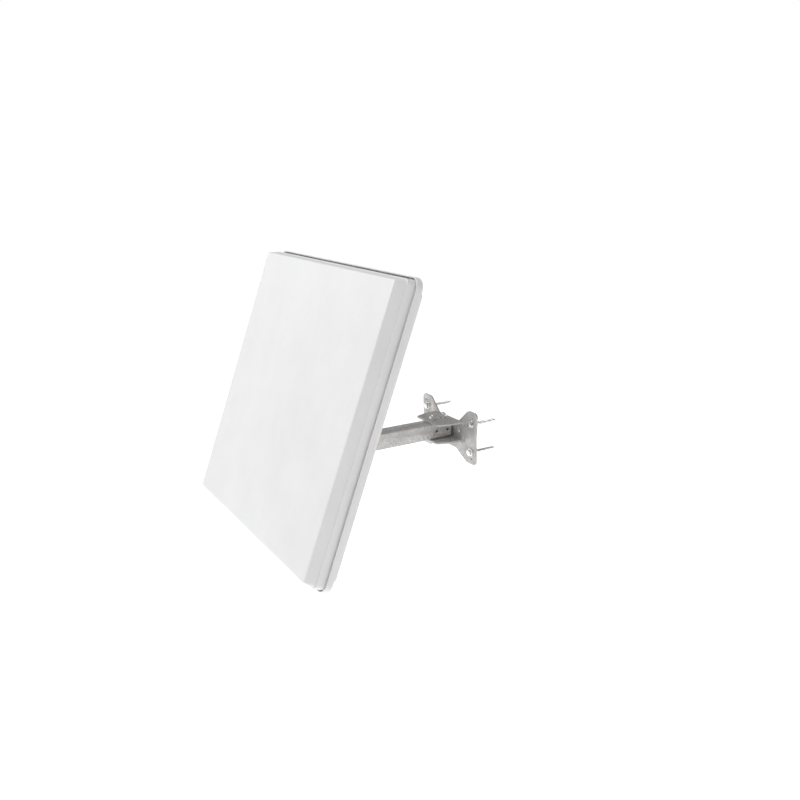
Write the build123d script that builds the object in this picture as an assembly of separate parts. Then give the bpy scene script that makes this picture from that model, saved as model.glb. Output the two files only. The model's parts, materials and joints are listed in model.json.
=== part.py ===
from build123d import *
import math
import os

# Flat-panel satellite antenna on a wall arm, in millimetres.
# Origin: centre of the four wall screws, on the back face of the wall bracket.
# +Z is up, +Y points into the wall, +X is to the right of someone facing the wall.

# ---------------------------------------------------------------- driving dimensions
# Antenna face and its casing, in the antenna's own frame: x across, y up the face, z out of the face.
FACE_WIDTH = 520.0
FACE_HEIGHT = 527.0
FACE_CORNER = 5.0
TILT_AT_REST = 20.0
SHOULDER_SPREAD = 7.0
SHOULDER_DEPTH = 20.0
SHOULDER_CORNER = 9.0
SKIRT_SPREAD = 10.5
SKIRT_DEPTH = 43.5
SKIRT_CORNER = 17.0
COVER_WALL = 2.5
COVER_EDGE_ROUND = 1.5

RIM_SPREAD = 14.5
RIM_FRONT_DEPTH = 36.0
RIM_BACK_DEPTH = 48.0
RIM_BACK_SPREAD = 15.8
RIM_CORNER = 22.0
RIM_LIP = 2.0
RIM_EDGE_ROUND = 0.8
TRAY_WALL = 2.5
BACK_BOX_DEPTH = 54.0
BACK_BOX_SIDE_INSET = 3.5
BACK_BOX_END_INSET = 22.0
BACK_BOX_CORNER = 10.0
BACK_RIB_WIDTH = 9.0
BACK_RIB_HEIGHT = 3.0
BACK_RIB_LENGTH = 150.0
BACK_RIB_INSETS_X = (55.0, 110.0)
BACK_RIB_INSET_Y = 138.5
SEAL_WIDTH = 2.6
SEAL_HEIGHT = 2.0

# Layers behind the cover, from the front to the back.
LAYER_MARGIN = 13.0
LAYER_CORNER = 6.0
FRONT_FOAM = 5.0
PATCH_SHEET = 0.6
PATCH_PITCH = 45.0
PATCH_SIZE = 22.0
MIDDLE_FOAM = 4.0
FEED_SHEET = 0.8
REAR_FOAM = 4.0
GROUND_PLATE = 1.5
FEED_SLOT_WIDTH = 19.0
FEED_SLOT_HEIGHT = 10.0
FEED_SLOT_CORNER = 2.0
POST_RADIUS = 4.0
POST_INSET_X = 90.0
POST_INSET_Y = 78.5
PLATE_SCREW_RADIUS = 1.5
PLATE_SCREW_HEAD_RADIUS = 3.0
PLATE_SCREW_HEAD = 1.8
PLATE_SCREW_LENGTH = 8.0

# Receiver box and its two sockets.
LNB_WIDTH = 92.0
LNB_HEIGHT = 62.0
LNB_DEPTH = 17.0
LNB_WALL = 2.0
LNB_CORNER = 5.0
LNB_CENTRE_Y = -100.0
LNB_LID = 1.6
LNB_BOARD = 1.6
CHIP_SIDE = 16.0
CHIP_HEIGHT = 2.0
SHIELD_WIDTH = 24.0
SHIELD_LENGTH = 30.0
SHIELD_HEIGHT = 3.0
SOCKET_X = 30.0
SOCKET_THREAD_RADIUS = 4.76
SOCKET_THREAD_LENGTH = 12.0
SOCKET_ROOT_RADIUS = 5.4
SOCKET_HEX = 14.0
SOCKET_HEX_HEIGHT = 3.0
SOCKET_BORE_RADIUS = 2.6
SOCKET_BORE_DEPTH = 9.0
SOCKET_NUT_HEX = 14.0
SOCKET_NUT_HEIGHT = 2.6
SOCKET_WASHER_RADIUS = 8.3
SOCKET_WASHER_HEIGHT = 1.0
CAP_WALL = 1.6
CAP_LENGTH = 8.6
VENT_RADIUS = 7.0
VENT_STEM_RADIUS = 4.0
VENT_HEIGHT = 3.0
VENT_INSET = 58.5

# Cover screws, driven from the back into posts of the cover.
COVER_SCREW_RADIUS = 1.5
COVER_SCREW_HEAD_RADIUS = 3.0
COVER_SCREW_HEAD = 2.0
COVER_SCREW_GRIP = 11.5
COVER_POST_RADIUS = 3.6
COVER_POST_INSET = 0.5
COVER_SCREWS_PER_SIDE = 4

# Tilt bracket on the antenna's back.
PIVOT_BEHIND = 36.0
PIVOT_UP = 33.7
EAR_THICKNESS = 3.0
EAR_PIVOT_RADIUS = 13.0
TILT_PLATE_WIDTH = 130.0
TILT_PLATE_LOW = -24.0
TILT_PLATE_HIGH = 92.0
TILT_PLATE_CORNER = 8.0
TILT_PLATE_BOLT_X = 53.0
TILT_PLATE_BOLT_LOW = -12.0
TILT_PLATE_BOLT_HIGH = 80.0
INSERT_BOSS_RADIUS = 8.0
INSERT_BOSS_HEIGHT = 10.0

# Swivel bracket on the mast.
SWIVEL_INSIDE = 67.0
SWIVEL_THICKNESS = 2.5
SWIVEL_BOTTOM = 26.0
SWIVEL_TOP = 108.0
SWIVEL_ARM_DEPTH = 19.0
LOCK_RADIUS = 26.0
LOCK_MARGIN = 8.5
PIVOT_AHEAD_OF_WEB = 5.0
PIVOT_ABOVE_WEB = 14.5
TILT_LOWEST = -20.0
TILT_HIGHEST = 30.0
SLOT_SPARE_ANGLE = 1.5
SECTOR_SPARE_ANGLE = 14.0
JAW_BACK = 7.5
JAW_HEIGHT = 15.0
UBOLT_RADIUS = 3.0
UBOLT_HEIGHTS = (41.0, 86.0)
UBOLT_THREAD_BEYOND_NUT = 4.0

# Arm and mast.
ARM_SIDE = 35.0
ARM_WALL = 2.0
ARM_CORNER = 3.5
ARM_Z = 5.2
MAST_FROM_WALL = 258.0
MAST_RADIUS = 19.0
MAST_WALL = 2.0
MAST_BELOW_ARM = 25.0
MAST_ABOVE_ARM = 98.0
MAST_CAP_HEIGHT = 3.0
MAST_CAP_PLUG = 12.0
WELD_SIZE = 2.6

# Wall bracket.
PLATE_HALF_WIDTH = 101.0
PLATE_WAIST = 97.5
PLATE_HALF_HEIGHT = 57.0
SHEET = 3.5
BEND_RADIUS = 4.0
EAR_ROOT_X = 37.0
EAR_TIP_X = 69.0
LOWER_LIP_X = 30.0
LOWER_LIP_Z = -36.0
EAR_ROOT_ROUND = 14.0
EAR_TIP_ROUND = 14.0
EAR_CORNER_ROUND = 9.0
WAIST_ROUND = 60.0
LIP_ROUND = 14.0
FLANGE_FRONT = 61.5
FLANGE_FRONT_HALF_WIDTH = 39.0
FLANGE_MIDDLE = 34.0
FLANGE_MIDDLE_HALF_WIDTH = 48.0
FLANGE_ROOT_HALF_WIDTH = 51.0
FLANGE_CORNER = 7.0
WALL_SCREW_X = 82.0
WALL_SCREW_Z = 31.2
SPARE_HOLE_X = 86.0
SPARE_HOLE_Z = 45.0
SPARE_HOLE_RADIUS = 2.8
SMALL_HOLE_X = 58.0
SMALL_HOLE_RISE = 17.0
SMALL_HOLE_RADIUS = 2.2
CENTRE_HOLE_X = 38.0
CENTRE_HOLE_RISE = -2.0
CENTRE_HOLE_RADIUS = 3.2
ARM_BOLT_Y = (-18.0, -46.0)
SIDE_HOLE_RADIUS = 2.9

# Fasteners: thread radius, hexagon across flats, head height, washer radius, washer thickness.
M8_RADIUS = 4.0
M8_HEX = 13.0
M8_HEAD = 5.3
M8_NUT = 6.5
M8_WASHER_RADIUS = 8.0
M8_WASHER = 1.6
M6_RADIUS = 3.0
M6_HEX = 10.0
M6_HEAD = 4.0
M6_NUT = 5.0
M6_WASHER_RADIUS = 6.0
M6_WASHER = 1.4
WALL_SCREW_RADIUS = 3.5
WALL_SCREW_NECK_RADIUS = 3.8
WALL_SCREW_POINT_RADIUS = 0.5
WALL_SCREW_HEX = 12.0
WALL_SCREW_HEAD = 5.0
WALL_SCREW_LENGTH = 60.0
WALL_SCREW_TIP = 7.0
WALL_WASHER_RADIUS = 8.5
ARM_BOLT_BEYOND_NUT = 3.5
TILT_BOLT_LENGTH = 14.0

# Clearances.
ARM_FIT = 0.6
ARM_END_GAP = 0.5
BOLT_HOLE_FIT = 0.25
HINGE_FIT = 0.05
THREAD_FIT = 0.05
MOVING_GAP = 0.35
SLOT_FIT = 0.3
LAYER_GAP = 0.1
PLUG_FIT = 0.1
OVERCUT = 1.0
EDGE_TOLERANCE = 0.05

# ---------------------------------------------------------------- places worked out from them
ARM_HALF = ARM_SIDE / 2
FLANGE_INNER = ARM_HALF + ARM_FIT
FLANGE_OUTER = FLANGE_INNER + SHEET
ARM_START = SHEET + BEND_RADIUS + ARM_END_GAP
MAST_Y = -MAST_FROM_WALL

WEB_BACK_Y = MAST_Y - MAST_RADIUS - MOVING_GAP - JAW_BACK
WEB_FRONT_Y = WEB_BACK_Y - SWIVEL_THICKNESS
CHEEK_INSIDE = SWIVEL_INSIDE / 2
CHEEK_OUTSIDE = CHEEK_INSIDE + SWIVEL_THICKNESS
PIVOT_Y = WEB_FRONT_Y - PIVOT_AHEAD_OF_WEB
PIVOT_Z = ARM_Z + SWIVEL_TOP + PIVOT_ABOVE_WEB
EAR_INSIDE = CHEEK_OUTSIDE + MOVING_GAP
EAR_OUTSIDE = EAR_INSIDE + EAR_THICKNESS

TILT = math.radians(TILT_AT_REST)
FACE_NORMAL = Vector(0, -math.cos(TILT), math.sin(TILT))
FACE_UP = Vector(0, math.sin(TILT), math.cos(TILT))
PIVOT_POINT = Vector(0, PIVOT_Y, PIVOT_Z)
FACE_CENTRE = PIVOT_POINT + FACE_NORMAL * (PIVOT_BEHIND + BACK_BOX_DEPTH) - FACE_UP * PIVOT_UP
ANTENNA_PLACE = Plane(origin=FACE_CENTRE, x_dir=(1, 0, 0), z_dir=FACE_NORMAL).location

FLOOR_INSIDE = -RIM_BACK_DEPTH + TRAY_WALL
BOX_FLOOR_INSIDE = -BACK_BOX_DEPTH + TRAY_WALL
BACK_BOX_WIDTH = FACE_WIDTH + 2 * (RIM_BACK_SPREAD - BACK_BOX_SIDE_INSET)
BACK_BOX_HEIGHT = FACE_HEIGHT + 2 * (RIM_BACK_SPREAD - BACK_BOX_END_INSET)
FRONT_FOAM_TOP = -COVER_WALL - LAYER_GAP
PATCH_TOP = FRONT_FOAM_TOP - FRONT_FOAM
MIDDLE_FOAM_TOP = PATCH_TOP - PATCH_SHEET
FEED_TOP = MIDDLE_FOAM_TOP - MIDDLE_FOAM
REAR_FOAM_TOP = FEED_TOP - FEED_SHEET
GROUND_TOP = REAR_FOAM_TOP - REAR_FOAM
GROUND_BACK = GROUND_TOP - GROUND_PLATE
LNB_FRONT = GROUND_BACK
LNB_BACK = LNB_FRONT - LNB_DEPTH
LNB_LID_BACK = LNB_BACK - LNB_LID
BACK_FACE = -BACK_BOX_DEPTH
LAYER_WIDTH = FACE_WIDTH - 2 * LAYER_MARGIN
LAYER_HEIGHT = FACE_HEIGHT - 2 * LAYER_MARGIN
POST_X = FACE_WIDTH / 2 - POST_INSET_X
POST_Y = FACE_HEIGHT / 2 - POST_INSET_Y
BACK_RIB_Y = FACE_HEIGHT / 2 - BACK_RIB_INSET_Y
VENT_Y = VENT_INSET - FACE_HEIGHT / 2
PIVOT_LOCAL_Z = BACK_FACE - PIVOT_BEHIND
LOCK_LOCAL_Y = PIVOT_UP + LOCK_RADIUS


# ---------------------------------------------------------------- shared shapes
def rod(start, direction, length, radius):
    """A round bar from start along direction."""
    return extrude(Plane(origin=start, z_dir=direction) * Circle(radius), length)


def washer(start, direction, thickness, outer, inner):
    """A flat ring from start along direction."""
    profile = Circle(outer) - Circle(inner)
    return extrude(Plane(origin=start, z_dir=direction) * profile, thickness)


def hexagon(start, direction, height, across_flats, bore=0.0):
    """A hexagonal prism from start along direction, with an optional bore."""
    profile = RegularPolygon(across_flats / 2, 6, major_radius=False)
    if bore > 0:
        profile = profile - Circle(bore)
    return extrude(Plane(origin=start, z_dir=direction) * profile, height)


def hex_bolt(seat, direction, shank, radius, across_flats, head):
    """A hexagon-head bolt: its head sits behind seat, and its shank runs along direction."""
    seat = Vector(*seat)
    step = Vector(*direction)
    return hexagon(seat, step * -1, head, across_flats) + rod(seat, step, shank, radius)


def pan_screw(seat, direction, shank, radius, head_radius, head):
    """A round-head screw: its head sits behind seat, and its shank runs along direction."""
    seat = Vector(*seat)
    step = Vector(*direction)
    return rod(seat, step * -1, head, head_radius) + rod(seat, step, shank, radius)


def rounded_slab(width, height, corner, top, bottom):
    """A plate with rounded corners between two levels of the antenna's own z axis."""
    profile = Pos(0, 0, bottom) * RectangleRounded(width, height, corner)
    return extrude(profile, top - bottom, dir=(0, 0, 1))


def face_section(spread, corner, depth, inset=0.0):
    """The face's outline grown by spread, at a depth behind the face, moved in by inset."""
    grown = 2 * (spread - inset)
    size = (FACE_WIDTH + grown, FACE_HEIGHT + grown)
    return Pos(0, 0, -depth) * RectangleRounded(*size, max(corner - inset, 1.0))


def rounded_outline(points, radii):
    """A closed face through points, with each corner rounded by its own radius."""
    return make_face(FilletPolyline(*points, radius=radii, close=True))


def mirrored(points):
    """An outline's right half, and its mirror image going back to the start."""
    return points + [(-x, y) for x, y in reversed(points)]


def save(node, *solids):
    """Write one node: a single solid, or a group of separate solids."""
    shape = solids[0] if len(solids) == 1 else Compound(children=list(solids))
    export_step(shape, f"parts/{node}.step")


def save_on_antenna(node, *solids):
    """Write a node that was modelled in the antenna's own frame."""
    save(node, *[ANTENNA_PLACE * solid for solid in solids])


# ---------------------------------------------------------------- wall bracket
def edges_across(body, y, z):
    """The straight edges that run along x at one y and z."""
    along_x = body.edges().filter_by(Axis.X)
    on_level = along_x.filter_by_position(Axis.Z, z - EDGE_TOLERANCE, z + EDGE_TOLERANCE)
    return on_level.filter_by_position(Axis.Y, y - EDGE_TOLERANCE, y + EDGE_TOLERANCE)


def wall_bracket():
    """Back plate with four ears, and two flanges that hold the arm from above and below."""
    top_edge = ARM_Z + FLANGE_OUTER
    right_half = [
        (EAR_ROOT_X, top_edge),
        (EAR_TIP_X, PLATE_HALF_HEIGHT),
        (PLATE_HALF_WIDTH, PLATE_HALF_HEIGHT),
        (PLATE_WAIST, 0.0),
        (PLATE_HALF_WIDTH, -PLATE_HALF_HEIGHT),
        (EAR_TIP_X, -PLATE_HALF_HEIGHT),
        (LOWER_LIP_X, LOWER_LIP_Z),
    ]
    rounds = [EAR_ROOT_ROUND, EAR_TIP_ROUND, EAR_CORNER_ROUND, WAIST_ROUND]
    rounds += [EAR_CORNER_ROUND, EAR_TIP_ROUND, LIP_ROUND]
    outline = rounded_outline(mirrored(right_half), rounds + rounds[::-1])
    plate = extrude(Plane.XZ * outline, SHEET)

    flange_half = [
        (FLANGE_FRONT_HALF_WIDTH, -FLANGE_FRONT),
        (FLANGE_MIDDLE_HALF_WIDTH, -FLANGE_MIDDLE),
        (FLANGE_ROOT_HALF_WIDTH, 0.0),
    ]
    flange_face = make_face(Polyline(*mirrored(flange_half), close=True))
    flange_face = fillet(flange_face.vertices().group_by(Axis.Y)[0], FLANGE_CORNER)
    waist = flange_face.vertices().group_by(Axis.Y)[-2]
    flange_face = fillet(waist, 2 * FLANGE_CORNER)
    body = plate
    for level in (ARM_Z + FLANGE_INNER, ARM_Z - FLANGE_OUTER):
        body += extrude(Pos(0, 0, level) * flange_face, SHEET, dir=(0, 0, 1))
    inner_bends = edges_across(body, -SHEET, ARM_Z + FLANGE_INNER)
    inner_bends += edges_across(body, -SHEET, ARM_Z - FLANGE_INNER)
    body = fillet(inner_bends, BEND_RADIUS)
    return fillet(edges_across(body, -SHEET, ARM_Z - FLANGE_OUTER), 1.5 * BEND_RADIUS)


def arm_bolt_hole(y):
    """Where an upright arm bolt crosses the bracket and the arm."""
    start = (0, y, ARM_Z - FLANGE_OUTER - OVERCUT)
    return rod(start, (0, 0, 1), 2 * (FLANGE_OUTER + OVERCUT), M8_RADIUS + BOLT_HOLE_FIT)


def screw_places():
    """The four wall screws, on the bracket's front face."""
    return [(x, -SHEET, z) for x in (-WALL_SCREW_X, WALL_SCREW_X) for z in (-WALL_SCREW_Z, WALL_SCREW_Z)]


def plate_hole(x, z, radius):
    """A hole through the back plate."""
    return rod((x, -SHEET - OVERCUT, z), (0, 1, 0), SHEET + 2 * OVERCUT, radius)


def drilled_wall_bracket():
    """The wall bracket with every hole."""
    body = wall_bracket()
    for y in ARM_BOLT_Y:
        body -= arm_bolt_hole(y)
    for x, _, z in screw_places():
        body -= plate_hole(x, z, WALL_SCREW_NECK_RADIUS + BOLT_HOLE_FIT)
    for side in (-1, 1):
        body -= plate_hole(side * CENTRE_HOLE_X, ARM_Z + CENTRE_HOLE_RISE, CENTRE_HOLE_RADIUS)
        for up in (-1, 1):
            body -= plate_hole(side * SPARE_HOLE_X, up * SPARE_HOLE_Z, SPARE_HOLE_RADIUS)
            body -= plate_hole(side * SMALL_HOLE_X, ARM_Z + up * SMALL_HOLE_RISE, SMALL_HOLE_RADIUS)
    return body


def wall_screw(place):
    """A hexagon-head wood screw with a plain neck and a pointed end, seated on its washer."""
    x, y, z = place
    seat = Vector(x, y - M6_WASHER, z)
    into_wall = Vector(0, 1, 0)
    body = hex_bolt(seat, into_wall, WALL_SCREW_LENGTH, WALL_SCREW_RADIUS, WALL_SCREW_HEX, WALL_SCREW_HEAD)
    body += rod(seat, into_wall, M6_WASHER + SHEET, WALL_SCREW_NECK_RADIUS)
    tip_start = Plane(origin=seat + into_wall * WALL_SCREW_LENGTH, z_dir=into_wall)
    tip = Cone(WALL_SCREW_RADIUS, WALL_SCREW_POINT_RADIUS, WALL_SCREW_TIP)
    return body + tip_start.location * Pos(0, 0, WALL_SCREW_TIP / 2) * tip


# ---------------------------------------------------------------- arm and mast
def arm_tube():
    """Square tube from the wall bracket to the mast, cut to the mast's round surface."""
    outer = RectangleRounded(ARM_SIDE, ARM_SIDE, ARM_CORNER)
    inner = RectangleRounded(ARM_SIDE - 2 * ARM_WALL, ARM_SIDE - 2 * ARM_WALL, ARM_CORNER - ARM_WALL)
    start = Plane(origin=(0, -ARM_START, ARM_Z), x_dir=(1, 0, 0), z_dir=(0, -1, 0))
    tube = extrude(start * (outer - inner), MAST_FROM_WALL - ARM_START - MAST_RADIUS / 4)
    tube -= rod((0, MAST_Y, ARM_Z - ARM_SIDE), (0, 0, 1), 2 * ARM_SIDE, MAST_RADIUS)
    for y in ARM_BOLT_Y:
        tube -= arm_bolt_hole(y)
        tube -= rod((-ARM_SIDE, y, ARM_Z), (1, 0, 0), 2 * ARM_SIDE, SIDE_HOLE_RADIUS)
    return tube


def arm_weld():
    """Weld bead round the arm where it meets the mast."""
    bead = ARM_SIDE + 2 * WELD_SIZE
    start = Plane(origin=(0, MAST_Y, ARM_Z), x_dir=(1, 0, 0), z_dir=(0, 1, 0))
    frame = RectangleRounded(bead, bead, ARM_CORNER + WELD_SIZE)
    frame -= RectangleRounded(ARM_SIDE, ARM_SIDE, ARM_CORNER)
    collar = extrude(start * frame, MAST_RADIUS + WELD_SIZE)
    shell = washer((0, MAST_Y, ARM_Z - bead), (0, 0, 1), 2 * bead, MAST_RADIUS + WELD_SIZE, MAST_RADIUS)
    return (collar & shell).solids()[0]


def mast_tube():
    """Short upright round tube on the end of the arm."""
    length = MAST_BELOW_ARM + MAST_ABOVE_ARM
    start = (0, MAST_Y, ARM_Z - MAST_BELOW_ARM)
    return washer(start, (0, 0, 1), length, MAST_RADIUS, MAST_RADIUS - MAST_WALL)


def mast_cap(end, direction):
    """Plastic cap pressed into one end of the mast."""
    step = Vector(0, 0, direction)
    lid = rod(end, step, MAST_CAP_HEIGHT, MAST_RADIUS)
    lid = fillet(lid.edges().group_by(Axis.Z)[-1 if direction > 0 else 0], MAST_CAP_HEIGHT / 2)
    bore = MAST_RADIUS - MAST_WALL
    plug = washer(end, step * -1, MAST_CAP_PLUG, bore - PLUG_FIT, bore - MAST_WALL)
    return lid + plug


# ---------------------------------------------------------------- swivel bracket
def tilt_direction(tilt):
    """Unit vector up the antenna's face, as y and z, when the joint stands at tilt degrees."""
    lean = math.radians(TILT_AT_REST + tilt)
    return math.sin(lean), math.cos(lean)


def sector_point(tilt, radius):
    """A point at radius from the pivot, up the face at that tilt, as y and z."""
    y, z = tilt_direction(tilt)
    return PIVOT_Y + radius * y, PIVOT_Z + radius * z


def cheek_face():
    """Side outline of the swivel bracket's cheeks, as y and z."""
    strip_height = SWIVEL_TOP - SWIVEL_BOTTOM + PIVOT_ABOVE_WEB
    strip_middle = ARM_Z + SWIVEL_BOTTOM + strip_height / 2
    strip = Pos(WEB_BACK_Y - SWIVEL_ARM_DEPTH / 2, strip_middle) * RectangleRounded(
        SWIVEL_ARM_DEPTH, strip_height, 2 * SWIVEL_THICKNESS
    )
    hub = Pos(PIVOT_Y, PIVOT_Z) * Circle(EAR_PIVOT_RADIUS)
    reach = 2 * LOCK_RADIUS
    low = TILT_LOWEST - SECTOR_SPARE_ANGLE
    high = TILT_HIGHEST + SECTOR_SPARE_ANGLE
    wedge_points = [(PIVOT_Y, PIVOT_Z), sector_point(low, reach)]
    wedge_points += [sector_point((low + high) / 2, reach), sector_point(high, reach)]
    wedge = make_face(Polyline(*wedge_points, close=True))
    sector = wedge & (Pos(PIVOT_Y, PIVOT_Z) * Circle(LOCK_RADIUS + LOCK_MARGIN))
    start_angle = 90.0 - (TILT_AT_REST + TILT_HIGHEST + SLOT_SPARE_ANGLE)
    sweep_angle = TILT_HIGHEST - TILT_LOWEST + 2 * SLOT_SPARE_ANGLE
    track = CenterArc((PIVOT_Y, PIVOT_Z), LOCK_RADIUS, start_angle, sweep_angle)
    slot = SlotArc(track, 2 * (M6_RADIUS + SLOT_FIT))
    pivot_hole = Pos(PIVOT_Y, PIVOT_Z) * Circle(M8_RADIUS + HINGE_FIT)
    return strip + hub + sector - slot - pivot_hole


def swivel_bracket():
    """Folded channel: a web across the front of the mast, and two cheeks with the tilt slots."""
    web_height = SWIVEL_TOP - SWIVEL_BOTTOM
    web = Pos(0, WEB_BACK_Y - SWIVEL_THICKNESS / 2, ARM_Z + SWIVEL_BOTTOM + web_height / 2) * Box(
        SWIVEL_INSIDE + 2 * SWIVEL_THICKNESS, SWIVEL_THICKNESS, web_height - 4 * SWIVEL_THICKNESS
    )
    body = web
    for x in (-CHEEK_OUTSIDE, CHEEK_INSIDE):
        body += extrude(Plane.YZ.offset(x) * cheek_face(), SWIVEL_THICKNESS)
    for z in UBOLT_HEIGHTS:
        for side in (-1, 1):
            start = (side * ubolt_leg_x(), WEB_FRONT_Y - OVERCUT, ARM_Z + z)
            body -= rod(start, (0, 1, 0), SWIVEL_THICKNESS + 2 * OVERCUT, UBOLT_RADIUS + BOLT_HOLE_FIT)
    return body


def ubolt_leg_x():
    """Distance of a U-bolt's leg from the mast's axis."""
    return MAST_RADIUS + MOVING_GAP + UBOLT_RADIUS


def clamp_saddle(z):
    """Block between the web and the mast, hollowed to the mast's radius."""
    depth = JAW_BACK + MOVING_GAP + MAST_RADIUS / 2
    width = 2 * (ubolt_leg_x() - UBOLT_RADIUS - BOLT_HOLE_FIT)
    block = Pos(0, WEB_BACK_Y + depth / 2, ARM_Z + z) * Box(width, depth, JAW_HEIGHT)
    block = fillet(block.edges().filter_by(Axis.X), OVERCUT)
    seat = rod((0, MAST_Y, ARM_Z + z - JAW_HEIGHT), (0, 0, 1), 2 * JAW_HEIGHT, MAST_RADIUS + MOVING_GAP)
    return block - seat


def ubolt(z):
    """Bent threaded rod round the back of the mast, with its two legs through the web."""
    leg = ubolt_leg_x()
    nut_end = WEB_FRONT_Y - M6_WASHER - M6_NUT - UBOLT_THREAD_BEYOND_NUT
    centre = Vector(0, MAST_Y, ARM_Z + z)
    leg_top = Plane(origin=centre + Vector(leg, 0, 0), x_dir=(1, 0, 0), z_dir=(0, -1, 0))
    section = leg_top * Circle(UBOLT_RADIUS)
    body = revolve(section, axis=Axis(centre, (0, 0, 1)), revolution_arc=180)
    for side in (-1, 1):
        body += rod(centre + Vector(side * leg, 0, 0), (0, -1, 0), MAST_Y - nut_end, UBOLT_RADIUS)
    return body


# ---------------------------------------------------------------- antenna casing
def cover_shell():
    """The hollow front cover: a flat face, a drafted wall, a shoulder and a steeper skirt."""
    sections = [
        (0.0, FACE_CORNER, 0.0),
        (SHOULDER_SPREAD, SHOULDER_CORNER, SHOULDER_DEPTH),
        (SKIRT_SPREAD, SKIRT_CORNER, SKIRT_DEPTH),
    ]
    outer = [face_section(*section) for section in sections]
    solid = loft([outer[0], outer[1]]) + loft([outer[1], outer[2]])
    solid = fillet(solid.edges().group_by(Axis.Z)[-1], COVER_EDGE_ROUND)
    hollow = [
        face_section(spread, corner, max(depth, COVER_WALL), COVER_WALL) for spread, corner, depth in sections
    ]
    return solid - loft([hollow[0], hollow[1]]) - loft([hollow[1], hollow[2]])


def cover_screw_places():
    """Centres of the cover screws, round the edge of the face, as x and y."""
    half_x = FACE_WIDTH / 2 + COVER_POST_INSET
    half_y = FACE_HEIGHT / 2 + COVER_POST_INSET
    places = []
    for step in range(COVER_SCREWS_PER_SIDE):
        share = 2 * (step + 0.5) / COVER_SCREWS_PER_SIDE - 1
        for side in (-1, 1):
            places.append((side * half_x, share * half_y))
            places.append((share * half_x, side * half_y))
    return places


def cover_screw_seat(y):
    """Level of a cover screw's head: on the back box, or beyond its end on the rim."""
    return BACK_FACE if abs(y) < BACK_BOX_HEIGHT / 2 else -RIM_BACK_DEPTH


def cover():
    """The front cover with its screw posts."""
    body = cover_shell()
    for x, y in cover_screw_places():
        post = rod((x, y, -SKIRT_DEPTH), (0, 0, 1), SKIRT_DEPTH - SHOULDER_DEPTH / 2, COVER_POST_RADIUS)
        body += post
        start = (x, y, -SKIRT_DEPTH - OVERCUT)
        body -= rod(start, (0, 0, 1), COVER_SCREW_GRIP + 2 * OVERCUT, COVER_SCREW_RADIUS)
    return body


def tray_shell():
    """The back tray: a rim with a channel for the cover's edge, a floor and a raised back box."""
    rim_front = face_section(RIM_SPREAD, RIM_CORNER, RIM_FRONT_DEPTH)
    rim_back = face_section(RIM_BACK_SPREAD, RIM_CORNER, RIM_BACK_DEPTH)
    body = loft([rim_front, rim_back])
    body = fillet(body.edges().group_by(Axis.Z)[-1], RIM_EDGE_ROUND)
    body += rounded_slab(BACK_BOX_WIDTH, BACK_BOX_HEIGHT, BACK_BOX_CORNER, -RIM_BACK_DEPTH, BACK_FACE)
    body = fillet(body.edges().group_by(Axis.Z)[0], TRAY_WALL / 2)
    mouth = face_section(RIM_SPREAD, RIM_CORNER, RIM_FRONT_DEPTH - OVERCUT, RIM_LIP)
    body -= extrude(mouth, RIM_BACK_DEPTH - TRAY_WALL - RIM_FRONT_DEPTH + OVERCUT, dir=(0, 0, -1))
    inset = 2 * TRAY_WALL + 2 * (COVER_POST_RADIUS + RIM_BACK_SPREAD - BACK_BOX_SIDE_INSET + TRAY_WALL)
    well = (BACK_BOX_WIDTH - inset, BACK_BOX_HEIGHT - inset)
    body -= rounded_slab(*well, BACK_BOX_CORNER, FLOOR_INSIDE + OVERCUT, BOX_FLOOR_INSIDE)
    return body


def post_places():
    """Centres of the posts that carry the ground plate, as x and y."""
    return [(x, y) for x in (-POST_X, 0.0, POST_X) for y in (-POST_Y, 0.0, POST_Y)]


def tilt_bolt_places():
    """Centres of the tilt bracket's bolts, as x and y."""
    heights = (TILT_PLATE_BOLT_LOW, TILT_PLATE_BOLT_HIGH)
    return [(x, y) for x in (-TILT_PLATE_BOLT_X, TILT_PLATE_BOLT_X) for y in heights]


def socket_places():
    """Centres of the two cable sockets, as x and y."""
    return [(-SOCKET_X, LNB_CENTRE_Y), (SOCKET_X, LNB_CENTRE_Y)]


def rib_places():
    """Centres of the ribs on the back, as x and y."""
    across = [side * (FACE_WIDTH / 2 - inset) for inset in BACK_RIB_INSETS_X for side in (-1, 1)]
    return [(x, y) for x in across for y in (-BACK_RIB_Y, BACK_RIB_Y)]


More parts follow.
